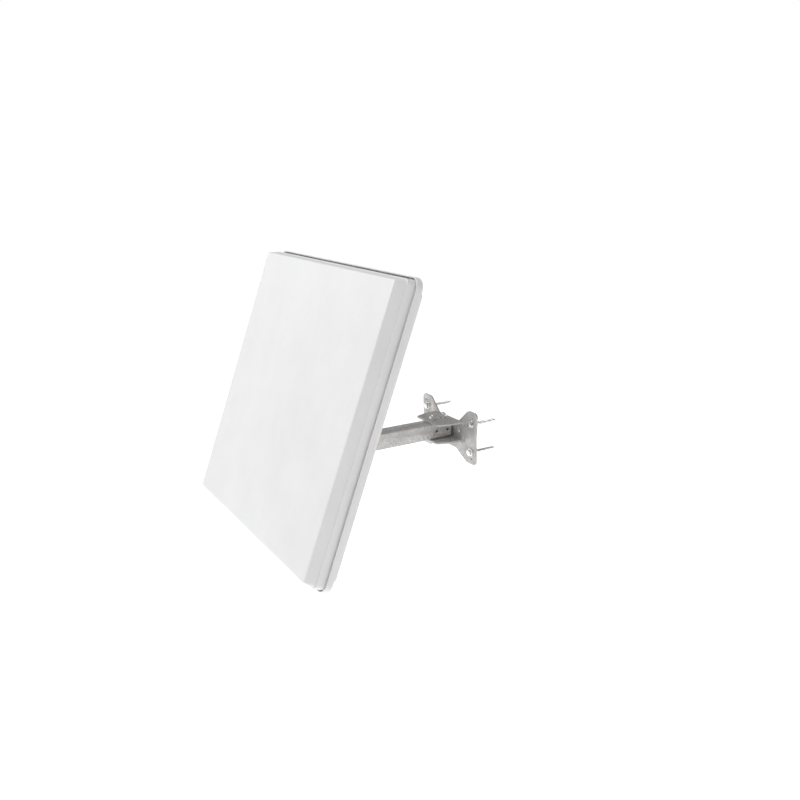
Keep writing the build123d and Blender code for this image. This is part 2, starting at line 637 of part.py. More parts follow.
def back_tray():
    """The back tray with its ribs, posts, bosses and holes."""
    body = tray_shell()
    corner = (BACK_RIB_WIDTH - OVERCUT) / 2
    rib = rounded_slab(BACK_RIB_WIDTH, BACK_RIB_LENGTH, corner, BACK_FACE, BACK_FACE - BACK_RIB_HEIGHT)
    for x, y in rib_places():
        body += Pos(x, y, 0) * rib
    for x, y in post_places():
        body += rod((x, y, BOX_FLOOR_INSIDE), (0, 0, 1), GROUND_BACK - BOX_FLOOR_INSIDE, POST_RADIUS)
        pilot = PLATE_SCREW_LENGTH + OVERCUT
        body -= rod((x, y, GROUND_BACK - pilot), (0, 0, 1), pilot + OVERCUT, PLATE_SCREW_RADIUS)
    for x, y in tilt_bolt_places():
        body += rod((x, y, BOX_FLOOR_INSIDE), (0, 0, 1), INSERT_BOSS_HEIGHT, INSERT_BOSS_RADIUS)
        depth = TILT_BOLT_LENGTH - EAR_THICKNESS - M6_WASHER + OVERCUT
        body -= rod((x, y, BACK_FACE - OVERCUT), (0, 0, 1), depth + OVERCUT, M6_RADIUS + THREAD_FIT)
    through = TRAY_WALL + 2 * OVERCUT
    for x, y in socket_places():
        body -= rod((x, y, BACK_FACE - OVERCUT), (0, 0, 1), through, SOCKET_ROOT_RADIUS + BOLT_HOLE_FIT)
    for x, y in cover_screw_places():
        depth = FLOOR_INSIDE - cover_screw_seat(y)
        start = (x, y, FLOOR_INSIDE + OVERCUT)
        body -= rod(start, (0, 0, -1), depth + 2 * OVERCUT, COVER_SCREW_RADIUS + BOLT_HOLE_FIT)
    body -= rod((0, VENT_Y, BACK_FACE - OVERCUT), (0, 0, 1), through, VENT_STEM_RADIUS + PLUG_FIT)
    return body


def rim_seal():
    """Soft ring under the edge of the cover."""
    middle = SKIRT_SPREAD - COVER_WALL / 2
    outer = face_section(middle + SEAL_WIDTH / 2, SKIRT_CORNER, SKIRT_DEPTH + SEAL_HEIGHT)
    inner = face_section(middle - SEAL_WIDTH / 2, SKIRT_CORNER - SEAL_WIDTH, SKIRT_DEPTH + SEAL_HEIGHT)
    return extrude(outer - inner, SEAL_HEIGHT, dir=(0, 0, 1))


# ---------------------------------------------------------------- layers
def layer(top, thickness):
    """One sheet of the antenna's layers, a little thinner than its share so that the next one clears it."""
    return rounded_slab(LAYER_WIDTH, LAYER_HEIGHT, LAYER_CORNER, top, top - thickness + LAYER_GAP)


def centred_row(length):
    """Centres of as many radiating elements as a side of that length has room for."""
    count = int((length - PATCH_SIZE) / PATCH_PITCH)
    return [(index - (count - 1) / 2) * PATCH_PITCH for index in range(count)]


def patch_sheet():
    """Thin sheet with a window for each radiating element."""
    sheet = layer(PATCH_TOP, PATCH_SHEET)
    windows = [
        Pos(x, y, PATCH_TOP) * Rectangle(PATCH_SIZE, PATCH_SIZE)
        for x in centred_row(LAYER_WIDTH)
        for y in centred_row(LAYER_HEIGHT)
    ]
    cutters = [extrude(window, 2 * PATCH_SHEET, both=True) for window in windows]
    return sheet - cutters


def ground_plate():
    """Aluminium plate behind the layers, with the feed slot and screw holes."""
    plate = rounded_slab(LAYER_WIDTH, LAYER_HEIGHT, LAYER_CORNER, GROUND_TOP, GROUND_BACK)
    through = GROUND_PLATE + 2 * OVERCUT
    plate -= feed_window(GROUND_BACK - OVERCUT, through)
    for x, y in post_places():
        plate -= rod((x, y, GROUND_BACK - OVERCUT), (0, 0, 1), through, PLATE_SCREW_RADIUS + PLUG_FIT)
    return plate


def feed_window(bottom, height):
    """Cutter for the slot through which the signal reaches the receiver, from bottom up."""
    slot = RectangleRounded(FEED_SLOT_WIDTH, FEED_SLOT_HEIGHT, FEED_SLOT_CORNER)
    return extrude(Pos(0, LNB_CENTRE_Y, bottom) * slot, height, dir=(0, 0, 1))


def rear_foam():
    """Foam sheet on the ground plate, relieved over the plate screws."""
    sheet = layer(REAR_FOAM_TOP, REAR_FOAM)
    relief = PLATE_SCREW_HEAD_RADIUS + OVERCUT
    for x, y in post_places():
        sheet -= rod((x, y, GROUND_TOP - OVERCUT), (0, 0, 1), REAR_FOAM + 2 * OVERCUT, relief)
    return sheet


# ---------------------------------------------------------------- receiver
def lnb_case():
    """Die-cast box with the waveguide window in its front."""
    outer = Pos(0, LNB_CENTRE_Y, 0) * rounded_slab(LNB_WIDTH, LNB_HEIGHT, LNB_CORNER, LNB_FRONT, LNB_BACK)
    inside = (LNB_WIDTH - 2 * LNB_WALL, LNB_HEIGHT - 2 * LNB_WALL, LNB_CORNER - LNB_WALL)
    hollow = Pos(0, LNB_CENTRE_Y, 0) * rounded_slab(*inside, LNB_FRONT - LNB_WALL, LNB_BACK - OVERCUT)
    return outer - hollow - feed_window(LNB_FRONT - LNB_WALL - OVERCUT, LNB_WALL + 2 * OVERCUT)


def lnb_board():
    """Circuit board inside the receiver box, with a chip behind it and a shield can in front."""
    size = (LNB_WIDTH - 2 * LNB_WALL - OVERCUT, LNB_HEIGHT - 2 * LNB_WALL - OVERCUT, LNB_CORNER - LNB_WALL)
    top = (LNB_FRONT + LNB_BACK) / 2
    board = Pos(0, LNB_CENTRE_Y, 0) * rounded_slab(*size, top, top - LNB_BOARD)
    chip_level = top - LNB_BOARD - CHIP_HEIGHT / 2
    chip = Pos(0, LNB_CENTRE_Y, chip_level) * Box(CHIP_SIDE, CHIP_SIDE, CHIP_HEIGHT)
    shield = Pos(LNB_WIDTH / 4, LNB_CENTRE_Y, top + SHIELD_HEIGHT / 2) * Box(
        SHIELD_WIDTH, SHIELD_LENGTH, SHIELD_HEIGHT
    )
    return board + chip + shield


def lnb_lid():
    """Flat lid on the back of the receiver box, with a hole for each socket."""
    lid = Pos(0, LNB_CENTRE_Y, 0) * rounded_slab(LNB_WIDTH, LNB_HEIGHT, LNB_CORNER, LNB_BACK, LNB_LID_BACK)
    for x, y in socket_places():
        start = (x, y, LNB_LID_BACK - OVERCUT)
        lid -= rod(start, (0, 0, 1), LNB_LID + 2 * OVERCUT, SOCKET_BORE_RADIUS)
    return lid


def socket(x, y):
    """Threaded coaxial socket: a hexagon on the lid, and a threaded barrel out through the back."""
    tip = BACK_FACE - SOCKET_THREAD_LENGTH
    body = hexagon((x, y, LNB_LID_BACK), (0, 0, -1), SOCKET_HEX_HEIGHT, SOCKET_HEX)
    body += rod((x, y, LNB_LID_BACK), (0, 0, -1), LNB_LID_BACK - tip, SOCKET_THREAD_RADIUS)
    root_end = BACK_FACE - SOCKET_WASHER_HEIGHT - SOCKET_NUT_HEIGHT
    body += rod((x, y, LNB_LID_BACK), (0, 0, -1), LNB_LID_BACK - root_end, SOCKET_ROOT_RADIUS)
    return body - rod((x, y, tip - OVERCUT), (0, 0, 1), SOCKET_BORE_DEPTH + OVERCUT, SOCKET_BORE_RADIUS)


def socket_cap(x, y):
    """Rubber cap over an unused socket."""
    inner = SOCKET_THREAD_RADIUS + PLUG_FIT
    tip = BACK_FACE - SOCKET_THREAD_LENGTH
    body = rod((x, y, tip - CAP_WALL), (0, 0, 1), CAP_LENGTH, inner + CAP_WALL)
    body = fillet(body.edges().group_by(Axis.Z)[0], CAP_WALL / 2)
    return body - rod((x, y, tip), (0, 0, 1), CAP_LENGTH, inner)


def vent_plug():
    """Breather plug on the back of the tray."""
    head = rod((0, VENT_Y, BACK_FACE), (0, 0, -1), VENT_HEIGHT, VENT_RADIUS)
    head = fillet(head.edges().group_by(Axis.Z)[0], VENT_HEIGHT / 3)
    return head + rod((0, VENT_Y, BACK_FACE), (0, 0, 1), TRAY_WALL, VENT_STEM_RADIUS)


# ---------------------------------------------------------------- tilt bracket
def ear_face():
    """Outline of one ear in the antenna's own frame, as y and z."""
    low = PIVOT_UP - EAR_PIVOT_RADIUS
    high = LOCK_LOCAL_Y + LOCK_MARGIN
    foot = Pos((low + high) / 2, BACK_FACE - PIVOT_BEHIND / 2) * Rectangle(high - low, PIVOT_BEHIND)
    hub = Pos(PIVOT_UP, PIVOT_LOCAL_Z) * Circle(EAR_PIVOT_RADIUS)
    tip = Pos(LOCK_LOCAL_Y, PIVOT_LOCAL_Z) * Circle(LOCK_MARGIN)
    bridge_middle = Pos((PIVOT_UP + LOCK_LOCAL_Y) / 2, PIVOT_LOCAL_Z - LOCK_MARGIN / 2)
    bridge = bridge_middle * Rectangle(LOCK_RADIUS, LOCK_MARGIN)
    pivot_hole = Pos(PIVOT_UP, PIVOT_LOCAL_Z) * Circle(M8_RADIUS + HINGE_FIT)
    lock_hole = Pos(LOCK_LOCAL_Y, PIVOT_LOCAL_Z) * Circle(M6_RADIUS + HINGE_FIT)
    return foot + hub + tip + bridge - pivot_hole - lock_hole


def tilt_bracket():
    """Plate on the antenna's back with two upright ears."""
    height = TILT_PLATE_HIGH - TILT_PLATE_LOW
    plate = Pos(0, TILT_PLATE_LOW + height / 2, 0) * rounded_slab(
        TILT_PLATE_WIDTH, height, TILT_PLATE_CORNER, BACK_FACE, BACK_FACE - EAR_THICKNESS
    )
    body = plate
    for x in (-EAR_OUTSIDE, EAR_INSIDE):
        body += extrude(Plane.YZ.offset(x) * ear_face(), EAR_THICKNESS)
    for x, y in tilt_bolt_places():
        start = (x, y, BACK_FACE + OVERCUT)
        body -= rod(start, (0, 0, -1), EAR_THICKNESS + 2 * OVERCUT, M6_RADIUS + BOLT_HOLE_FIT)
    return body


# ---------------------------------------------------------------- write the nodes
def write_root():
    """The wall bracket, the arm and the mast."""
    save("wall_bracket", drilled_wall_bracket())
    save("wall_screws", *[wall_screw(place) for place in screw_places()])
    washers = [
        washer(place, (0, -1, 0), M6_WASHER, WALL_WASHER_RADIUS, WALL_SCREW_NECK_RADIUS + BOLT_HOLE_FIT)
        for place in screw_places()
    ]
    save("wall_screw_washers", *washers)
    top = ARM_Z + FLANGE_OUTER
    bottom = ARM_Z - FLANGE_OUTER
    shank = 2 * FLANGE_OUTER + 2 * M8_WASHER + M8_NUT + ARM_BOLT_BEYOND_NUT
    bore = M8_RADIUS + BOLT_HOLE_FIT
    bolts, rings, nuts = [], [], []
    for y in ARM_BOLT_Y:
        bolts.append(hex_bolt((0, y, bottom - M8_WASHER), (0, 0, 1), shank, M8_RADIUS, M8_HEX, M8_HEAD))
        rings.append(washer((0, y, bottom), (0, 0, -1), M8_WASHER, M8_WASHER_RADIUS, bore))
        rings.append(washer((0, y, top), (0, 0, 1), M8_WASHER, M8_WASHER_RADIUS, bore))
        nuts.append(hexagon((0, y, top + M8_WASHER), (0, 0, 1), M8_NUT, M8_HEX, M8_RADIUS + THREAD_FIT))
    save("arm_bolts", *bolts)
    save("arm_bolt_washers", *rings)
    save("arm_bolt_nuts", *nuts)
    save("arm_tube", arm_tube())
    save("arm_weld", arm_weld())
    save("mast_tube", mast_tube())
    save("mast_top_cap", mast_cap((0, MAST_Y, ARM_Z + MAST_ABOVE_ARM), 1))
    save("mast_bottom_cap", mast_cap((0, MAST_Y, ARM_Z - MAST_BELOW_ARM), -1))


def write_swivel():
    """The bracket that turns round the mast, its clamps and the tilt pivot."""
    save("swivel_bracket", swivel_bracket())
    save("clamp_saddles", *[clamp_saddle(z) for z in UBOLT_HEIGHTS])
    save("u_bolts", *[ubolt(z) for z in UBOLT_HEIGHTS])
    rings, nuts = [], []
    for z in UBOLT_HEIGHTS:
        for side in (-1, 1):
            seat = (side * ubolt_leg_x(), WEB_FRONT_Y, ARM_Z + z)
            behind_ring = (seat[0], WEB_FRONT_Y - M6_WASHER, seat[2])
            rings.append(washer(seat, (0, -1, 0), M6_WASHER, M6_WASHER_RADIUS, UBOLT_RADIUS + BOLT_HOLE_FIT))
            nuts.append(hexagon(behind_ring, (0, -1, 0), M6_NUT, M6_HEX, UBOLT_RADIUS + THREAD_FIT))
    save("u_bolt_washers", *rings)
    save("u_bolt_nuts", *nuts)
    ring_seat = EAR_OUTSIDE + MOVING_GAP
    head_seat = ring_seat + M8_WASHER
    shank = 2 * head_seat + M8_NUT + ARM_BOLT_BEYOND_NUT
    save("pivot_bolt", hex_bolt((head_seat, PIVOT_Y, PIVOT_Z), (-1, 0, 0), shank, M8_RADIUS, M8_HEX, M8_HEAD))
    bore = M8_RADIUS + BOLT_HOLE_FIT
    pivot_rings = [
        washer((side * ring_seat, PIVOT_Y, PIVOT_Z), (side, 0, 0), M8_WASHER, M8_WASHER_RADIUS, bore)
        for side in (-1, 1)
    ]
    save("pivot_washers", *pivot_rings)
    nut_seat = (-head_seat, PIVOT_Y, PIVOT_Z)
    save("pivot_nut", hexagon(nut_seat, (-1, 0, 0), M8_NUT, M8_HEX, M8_RADIUS + THREAD_FIT))


def write_antenna():
    """Everything that tilts with the antenna."""
    save_on_antenna("front_cover", cover())
    save_on_antenna("back_tray", back_tray())
    save_on_antenna("rim_seal", rim_seal())
    cover_screws = [
        pan_screw(
            (x, y, cover_screw_seat(y)), (0, 0, 1), COVER_SCREW_GRIP - SKIRT_DEPTH - cover_screw_seat(y),
            COVER_SCREW_RADIUS - THREAD_FIT, COVER_SCREW_HEAD_RADIUS, COVER_SCREW_HEAD,
        )
        for x, y in cover_screw_places()
    ]
    save_on_antenna("cover_screws", *cover_screws)
    save_on_antenna("front_foam", layer(FRONT_FOAM_TOP, FRONT_FOAM))
    save_on_antenna("patch_sheet", patch_sheet())
    save_on_antenna("middle_foam", layer(MIDDLE_FOAM_TOP, MIDDLE_FOAM))
    save_on_antenna("feed_sheet", layer(FEED_TOP, FEED_SHEET))
    save_on_antenna("rear_foam", rear_foam())
    save_on_antenna("ground_plate", ground_plate())
    plate_screws = [
        pan_screw(
            (x, y, GROUND_TOP), (0, 0, -1), PLATE_SCREW_LENGTH, PLATE_SCREW_RADIUS - THREAD_FIT,
            PLATE_SCREW_HEAD_RADIUS, PLATE_SCREW_HEAD,
        )
        for x, y in post_places()
    ]
    save_on_antenna("plate_screws", *plate_screws)
    save_on_antenna("receiver_case", lnb_case())
    save_on_antenna("receiver_board", lnb_board())
    save_on_antenna("receiver_lid", lnb_lid())
    save_on_antenna("cable_sockets", *[socket(x, y) for x, y in socket_places()])
    bore = SOCKET_ROOT_RADIUS + BOLT_HOLE_FIT
    rings = [
        washer((x, y, BACK_FACE), (0, 0, -1), SOCKET_WASHER_HEIGHT, SOCKET_WASHER_RADIUS, bore)
        for x, y in socket_places()
    ]
    save_on_antenna("socket_washers", *rings)
    nut_seat = BACK_FACE - SOCKET_WASHER_HEIGHT
    thread = SOCKET_ROOT_RADIUS + THREAD_FIT
    nuts = [
        hexagon((x, y, nut_seat), (0, 0, -1), SOCKET_NUT_HEIGHT, SOCKET_NUT_HEX, thread)
        for x, y in socket_places()
    ]
    save_on_antenna("socket_nuts", *nuts)
    save_on_antenna("socket_cap", socket_cap(*socket_places()[0]))
    save_on_antenna("vent_plug", vent_plug())
    save_on_antenna("tilt_bracket", tilt_bracket())
    bolt_seat = BACK_FACE - EAR_THICKNESS - M6_WASHER
    tilt_bolts = [
        hex_bolt((x, y, bolt_seat), (0, 0, 1), TILT_BOLT_LENGTH, M6_RADIUS, M6_HEX, M6_HEAD)
        for x, y in tilt_bolt_places()
    ]
    save_on_antenna("tilt_bracket_bolts", *tilt_bolts)
    tilt_rings = [
        washer((x, y, bolt_seat), (0, 0, 1), M6_WASHER, M6_WASHER_RADIUS, M6_RADIUS + BOLT_HOLE_FIT)
        for x, y in tilt_bolt_places()
    ]
    save_on_antenna("tilt_bracket_washers", *tilt_rings)
    write_lock_bolts()


def write_lock_bolts():
    """The two bolts that slide in the cheeks' slots and lock the tilt."""
    bolts, rings, nuts = [], [], []
    bore = M6_RADIUS + BOLT_HOLE_FIT
    head_seat = CHEEK_INSIDE - MOVING_GAP
    nut_seat = EAR_OUTSIDE + M6_WASHER
    shank = nut_seat + M6_NUT + UBOLT_THREAD_BEYOND_NUT - head_seat
    for side in (-1, 1):
        place = (LOCK_LOCAL_Y, PIVOT_LOCAL_Z)
        bolts.append(hex_bolt((side * head_seat, *place), (side, 0, 0), shank, M6_RADIUS, M6_HEX, M6_HEAD))
        ring_seat = (side * EAR_OUTSIDE, *place)
        rings.append(washer(ring_seat, (side, 0, 0), M6_WASHER, M6_WASHER_RADIUS, bore))
        nuts.append(hexagon((side * nut_seat, *place), (side, 0, 0), M6_NUT, M6_HEX, M6_RADIUS + THREAD_FIT))
    save_on_antenna("lock_bolts", *bolts)
    save_on_antenna("lock_washers", *rings)
    save_on_antenna("lock_nuts", *nuts)


os.makedirs("parts", exist_ok=True)
write_root()
write_swivel()
write_antenna()
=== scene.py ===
"""Finished look of a flat-panel satellite antenna on a wall arm, built round its CAD frame.

All lengths are in metres, in the frame's own axes: +Z up, +Y into the wall, +X to the right.
"""

import json
import logging
import math
from collections.abc import Callable, Iterator, Sequence
from contextlib import contextmanager
from dataclasses import dataclass
from enum import Enum

import bmesh
import bpy
from mathutils import Matrix, Vector

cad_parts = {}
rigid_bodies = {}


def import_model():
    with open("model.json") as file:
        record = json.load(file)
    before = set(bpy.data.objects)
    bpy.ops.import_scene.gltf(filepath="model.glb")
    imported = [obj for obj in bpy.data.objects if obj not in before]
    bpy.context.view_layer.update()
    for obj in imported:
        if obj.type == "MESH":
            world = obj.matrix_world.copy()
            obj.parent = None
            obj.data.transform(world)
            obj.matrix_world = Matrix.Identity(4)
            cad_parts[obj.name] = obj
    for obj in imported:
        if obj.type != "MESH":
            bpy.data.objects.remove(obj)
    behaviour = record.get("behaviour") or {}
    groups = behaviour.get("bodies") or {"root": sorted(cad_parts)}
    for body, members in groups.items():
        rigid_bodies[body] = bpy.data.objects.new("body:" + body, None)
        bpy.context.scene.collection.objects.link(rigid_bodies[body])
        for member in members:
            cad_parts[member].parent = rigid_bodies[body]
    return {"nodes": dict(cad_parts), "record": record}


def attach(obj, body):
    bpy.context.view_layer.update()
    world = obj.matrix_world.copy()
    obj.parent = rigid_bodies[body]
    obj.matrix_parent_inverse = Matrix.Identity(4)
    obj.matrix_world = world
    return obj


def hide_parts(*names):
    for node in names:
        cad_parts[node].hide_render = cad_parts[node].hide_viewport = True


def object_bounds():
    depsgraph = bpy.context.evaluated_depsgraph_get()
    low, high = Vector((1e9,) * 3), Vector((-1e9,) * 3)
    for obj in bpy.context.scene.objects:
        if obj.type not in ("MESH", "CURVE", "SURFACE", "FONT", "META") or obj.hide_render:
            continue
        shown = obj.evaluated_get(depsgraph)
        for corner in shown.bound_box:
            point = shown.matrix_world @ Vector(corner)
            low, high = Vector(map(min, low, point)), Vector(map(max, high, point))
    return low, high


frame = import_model()
CAD_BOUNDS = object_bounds()

log = logging.getLogger("antenna")
MM = 0.001


class Body(Enum):
    """The CAD bodies that pieces ride on."""

    WALL_ARM = "wall_arm"
    SWIVEL = "swivel"
    ANTENNA = "antenna"


# ------------------------------------------------------------------ places read from the frame
@dataclass(frozen=True)
class Box:
    """A box's lowest and highest corners."""

    low: Vector
    high: Vector

    @classmethod
    def around(cls, points: Sequence[Vector]) -> "Box":
        """Smallest box that holds every point."""
        columns = list(zip(*points))
        return cls(Vector([min(column) for column in columns]), Vector([max(column) for column in columns]))

    @property
    def centre(self) -> Vector:
        """Middle of the box."""
        return (self.low + self.high) / 2

    @property
    def size(self) -> Vector:
        """Length of each side."""
        return self.high - self.low


def antenna_axes() -> Matrix:
    """Work out the antenna's own axes from the ground plate, a flat slab behind the face.

    Returns:
        The matrix from the antenna's frame (x across, y up the face, z out of the face, origin at the
        middle of the face) to the row frame.
    """
    plate = frame["nodes"]["ground_plate"].data
    facing = max(plate.polygons, key=lambda face: face.area if face.normal.y < 0 else 0.0)
    out = facing.normal.normalized()
    across = Vector((1.0, 0.0, 0.0))
    up = out.cross(across).normalized()
    turn = Matrix((across, up, out)).transposed()
    vertices = frame["nodes"]["front_cover"].data.vertices
    cover = Box.around([turn.transposed() @ vertex.co for vertex in vertices])
    origin = turn @ Vector((cover.centre.x, cover.centre.y, cover.high.z))
    return Matrix.Translation(origin) @ turn.to_4x4()


ANTENNA = antenna_axes()
WORLD = Matrix.Identity(4)


def box_in(node: str, axes: Matrix = WORLD) -> Box:
    """Measure a CAD node along given axes.

    Args:
        node: Name of the CAD node.
        axes: Matrix from those axes to the row frame.

    Returns:
        The node's box in those axes.
    """
    inverse = axes.inverted()
    return Box.around([inverse @ vertex.co for vertex in frame["nodes"][node].data.vertices])


def solids_in(node: str, axes: Matrix = WORLD) -> list[Box]:
    """Measure each separate solid of a CAD node along given axes.

    Args:
        node: Name of the CAD node.
        axes: Matrix from those axes to the row frame.

    Returns:
        One box for each solid, in a fixed order.
    """
    inverse = axes.inverted()
    shape = bmesh.new()
    shape.from_mesh(frame["nodes"][node].data)
    bmesh.ops.remove_doubles(shape, verts=shape.verts[:], dist=1e-6)
    waiting = set(shape.verts)
    boxes = []
    while waiting:
        stack = [waiting.pop()]
        points = []
        while stack:
            vertex = stack.pop()
            points.append(inverse @ vertex.co)
            for edge in vertex.link_edges:
                other = edge.other_vert(vertex)
                if other in waiting:
                    waiting.discard(other)
                    stack.append(other)
        boxes.append(Box.around(points))
    shape.free()
    return sorted(boxes, key=lambda box: tuple(round(value, 5) for value in box.centre))


# ------------------------------------------------------------------ modelling by operators
@contextmanager
def editing(piece: bpy.types.Object, kind: str = "FACE", action: str = "SELECT") -> Iterator[None]:
    """Open one object in edit mode.

    Args:
        piece: The object to edit.
        kind: Selection mode, VERT, EDGE or FACE.
        action: SELECT to start with everything selected, DESELECT with nothing.
    """
    select_only(piece)
    bpy.ops.object.mode_set(mode="EDIT")
    bpy.ops.mesh.select_mode(type=kind)
    bpy.ops.mesh.select_all(action=action)
    yield
    bpy.ops.object.mode_set(mode="OBJECT")


def select_only(*pieces: bpy.types.Object) -> None:
    """Select these objects alone, with the first one active."""
    bpy.ops.object.select_all(action="DESELECT")
    for piece in pieces:
        piece.select_set(True)
    bpy.context.view_layer.objects.active = pieces[0]


def pick_edges(piece: bpy.types.Object, wanted: Callable[[bmesh.types.BMEdge], bool]) -> None:
    """Add to the selection every edge that wanted accepts, in edit mode."""
    shape = bmesh.from_edit_mesh(piece.data)
    for edge in shape.edges:
        if wanted(edge):
            edge.select_set(True)
    bmesh.update_edit_mesh(piece.data)


def apply_modifiers(piece: bpy.types.Object) -> None:
    """Apply every modifier of a new piece, in order."""
    select_only(piece)
    for modifier in list(piece.modifiers):
        bpy.ops.object.modifier_apply(modifier=modifier.name)


def settle(piece: bpy.types.Object, place: Matrix = WORLD) -> bpy.types.Object:
    """Put a piece in place and bake that place into its mesh.

    Args:
        piece: The finished piece.
        place: Matrix from the piece's own axes to the row frame.

    Returns:
        The same piece, its object untransformed at the origin.
    """
    bpy.context.view_layer.update()
    piece.matrix_world = place @ piece.matrix_world
    select_only(piece)
    bpy.ops.object.transform_apply(location=True, rotation=True, scale=True)
    return piece


def smooth(piece: bpy.types.Object, degrees: float = 35.0) -> None:
    """Shade smooth, apart from edges sharper than an angle."""
    select_only(piece)
    bpy.ops.object.shade_smooth_by_angle(angle=math.radians(degrees))


def tidy_mesh(piece: bpy.types.Object, distance: float = 1e-6) -> None:
    """Merge doubles and turn every face outwards."""
    with editing(piece):
        bpy.ops.mesh.remove_doubles(threshold=distance)
        bpy.ops.mesh.normals_make_consistent(inside=False)


def joined(pieces: Sequence[bpy.types.Object], name: str) -> bpy.types.Object:
    """Join pieces into one object with a name."""
    select_only(*pieces)
    if len(pieces) > 1:
        bpy.ops.object.join()
    whole = bpy.context.view_layer.objects.active
    whole.name = name
    whole.data.name = name
    return whole


def cut(piece: bpy.types.Object, tool: bpy.types.Object, how: str = "DIFFERENCE") -> None:
    """Cut a piece with a tool object by a boolean, and remove the tool."""
    modifier = piece.modifiers.new("cut", "BOOLEAN")
    modifier.operation = how
    modifier.object = tool
    modifier.solver = "EXACT"
    apply_modifiers(piece)
    bpy.data.objects.remove(tool)
    with editing(piece, "VERT"):
        bpy.ops.mesh.remove_doubles(threshold=5e-6)
        bpy.ops.mesh.dissolve_degenerate(threshold=1e-6)
        bpy.ops.mesh.select_all(action="SELECT")
        bpy.ops.mesh.fill_holes(sides=0)
        bpy.ops.mesh.normals_make_consistent(inside=False)


def along(place: Vector, direction: Vector) -> Matrix:
    """Matrix that stands a piece modelled along +Z at a place, along a direction."""
    turn = Vector((0.0, 0.0, 1.0)).rotation_difference(direction.normalized())
    return Matrix.Translation(place) @ turn.to_matrix().to_4x4()


@dataclass(frozen=True)
class Ring:
    """One rounded-rectangle section of a loft."""

    half_width: float
    half_height: float
    corner: float
    level: float
    soft: float = 0.0

    def mixed(self, other: "Ring", share: float) -> "Ring":
        """Blend this ring with another, field by field."""
        fields = ("half_width", "half_height", "corner", "level")
        values = [getattr(self, name) * (1 - share) + getattr(other, name) * share for name in fields]
        return Ring(*values)

    def corner_centre(self, side_x: int, side_y: int) -> Vector:
        """Centre of the rounded corner on the given sides of the middle."""
        across, up = self.half_width - self.corner, self.half_height - self.corner
        return Vector((side_x * across, side_y * up, self.level))

    def reach(self, other: "Ring") -> float:
        """Distance to another ring, across the wall and along the axis."""
        return max(math.hypot(self.half_width - other.half_width, self.level - other.level), 1e-9)


def soften(rings: Sequence[Ring], steps: int = 5) -> list[Ring]:
    """Round the profile of a loft at each ring that asks for it.

    Args:
        rings: The rings in order, each with the distance over which its corner is rounded.
        steps: Number of segments in each rounded corner.

    Returns:
        The rings with each soft one replaced by a short curve of rings.
    """
    result = [rings[0]]
    for before, ring, after in zip(rings, rings[1:], rings[2:]):
        if ring.soft <= 0:
            result.append(ring)
            continue
        start = ring.mixed(before, min(ring.soft / ring.reach(before), 0.5))
        end = ring.mixed(after, min(ring.soft / ring.reach(after), 0.5))
        for step in range(steps + 1):
            share = step / steps
            result.append(start.mixed(ring, share).mixed(ring.mixed(end, share), share))
    return result + [rings[-1]]


@dataclass(frozen=True)
class Loft:
    """A skin over rounded-rectangle rings: a plane with rounded corners, extruded from ring to ring."""

    rings: tuple[Ring, ...]
    corner_steps: int = 8
    close_start: bool = True
    close_end: bool = True

    def section(self, ring: Ring) -> bpy.types.Object:
        """Add one ring as a plane with rounded corners."""
        bpy.ops.mesh.primitive_plane_add(size=2.0, location=(0.0, 0.0, ring.level))
        plane = bpy.context.active_object
        plane.scale = (ring.half_width, ring.half_height, 1.0)
        settle(plane)
        with editing(plane, "VERT"):
            bpy.ops.mesh.bevel(offset=ring.corner, segments=self.corner_steps, affect="VERTICES", profile=0.5)
        return plane

    def build(self, name: str) -> bpy.types.Object:
        """Extrude the first ring through all the others, and close the ends.

        Args:
            name: Name of the new object.

        Returns:
            The new object.
        """
        body = self.section(self.rings[0])
        body.name = name
        with editing(body, "EDGE"):
            if not self.close_start:
                bpy.ops.mesh.delete(type="ONLY_FACE")
                bpy.ops.mesh.select_all(action="SELECT")
            for ring, following in zip(self.rings, self.rings[1:]):
                bpy.ops.mesh.extrude_edges_move(TRANSFORM_OT_translate={"value": (0.0, 0.0, 0.0)})
                self.carry(body, ring, following)
            if self.close_end:
                bpy.ops.mesh.edge_face_add()
        tidy_mesh(body, 1e-7)
        return body

    def carry(self, body: bpy.types.Object, ring: Ring, following: Ring) -> None:
        """Take the selected copy of one ring to the place of the next, one rounded corner at a time.

        Args:
            body: The object in edit mode, with the copy selected.
            ring: The ring that the copy lies on.
            following: The ring it is taken to.
        """
        moving = {vertex.index for vertex in bmesh.from_edit_mesh(body.data).verts if vertex.select}
        growth = following.corner / ring.corner
        bpy.ops.mesh.select_mode(type="VERT")
        for side_x, side_y in ((1, 1), (1, -1), (-1, 1), (-1, -1)):
            bpy.ops.mesh.select_all(action="DESELECT")
            shape = bmesh.from_edit_mesh(body.data)
            for vertex in shape.verts:
                if vertex.index in moving and vertex.co.x * side_x > 0 and vertex.co.y * side_y > 0:
                    vertex.select_set(True)
            bmesh.update_edit_mesh(body.data)
            start = ring.corner_centre(side_x, side_y)
            bpy.ops.transform.resize(value=(growth, growth, 1.0), center_override=start)
            bpy.ops.transform.translate(value=following.corner_centre(side_x, side_y) - start)
        bpy.ops.mesh.select_mode(type="EDGE")
        bpy.ops.mesh.select_all(action="DESELECT")
        pick_edges(body, lambda edge: all(vertex.index in moving for vertex in edge.verts))


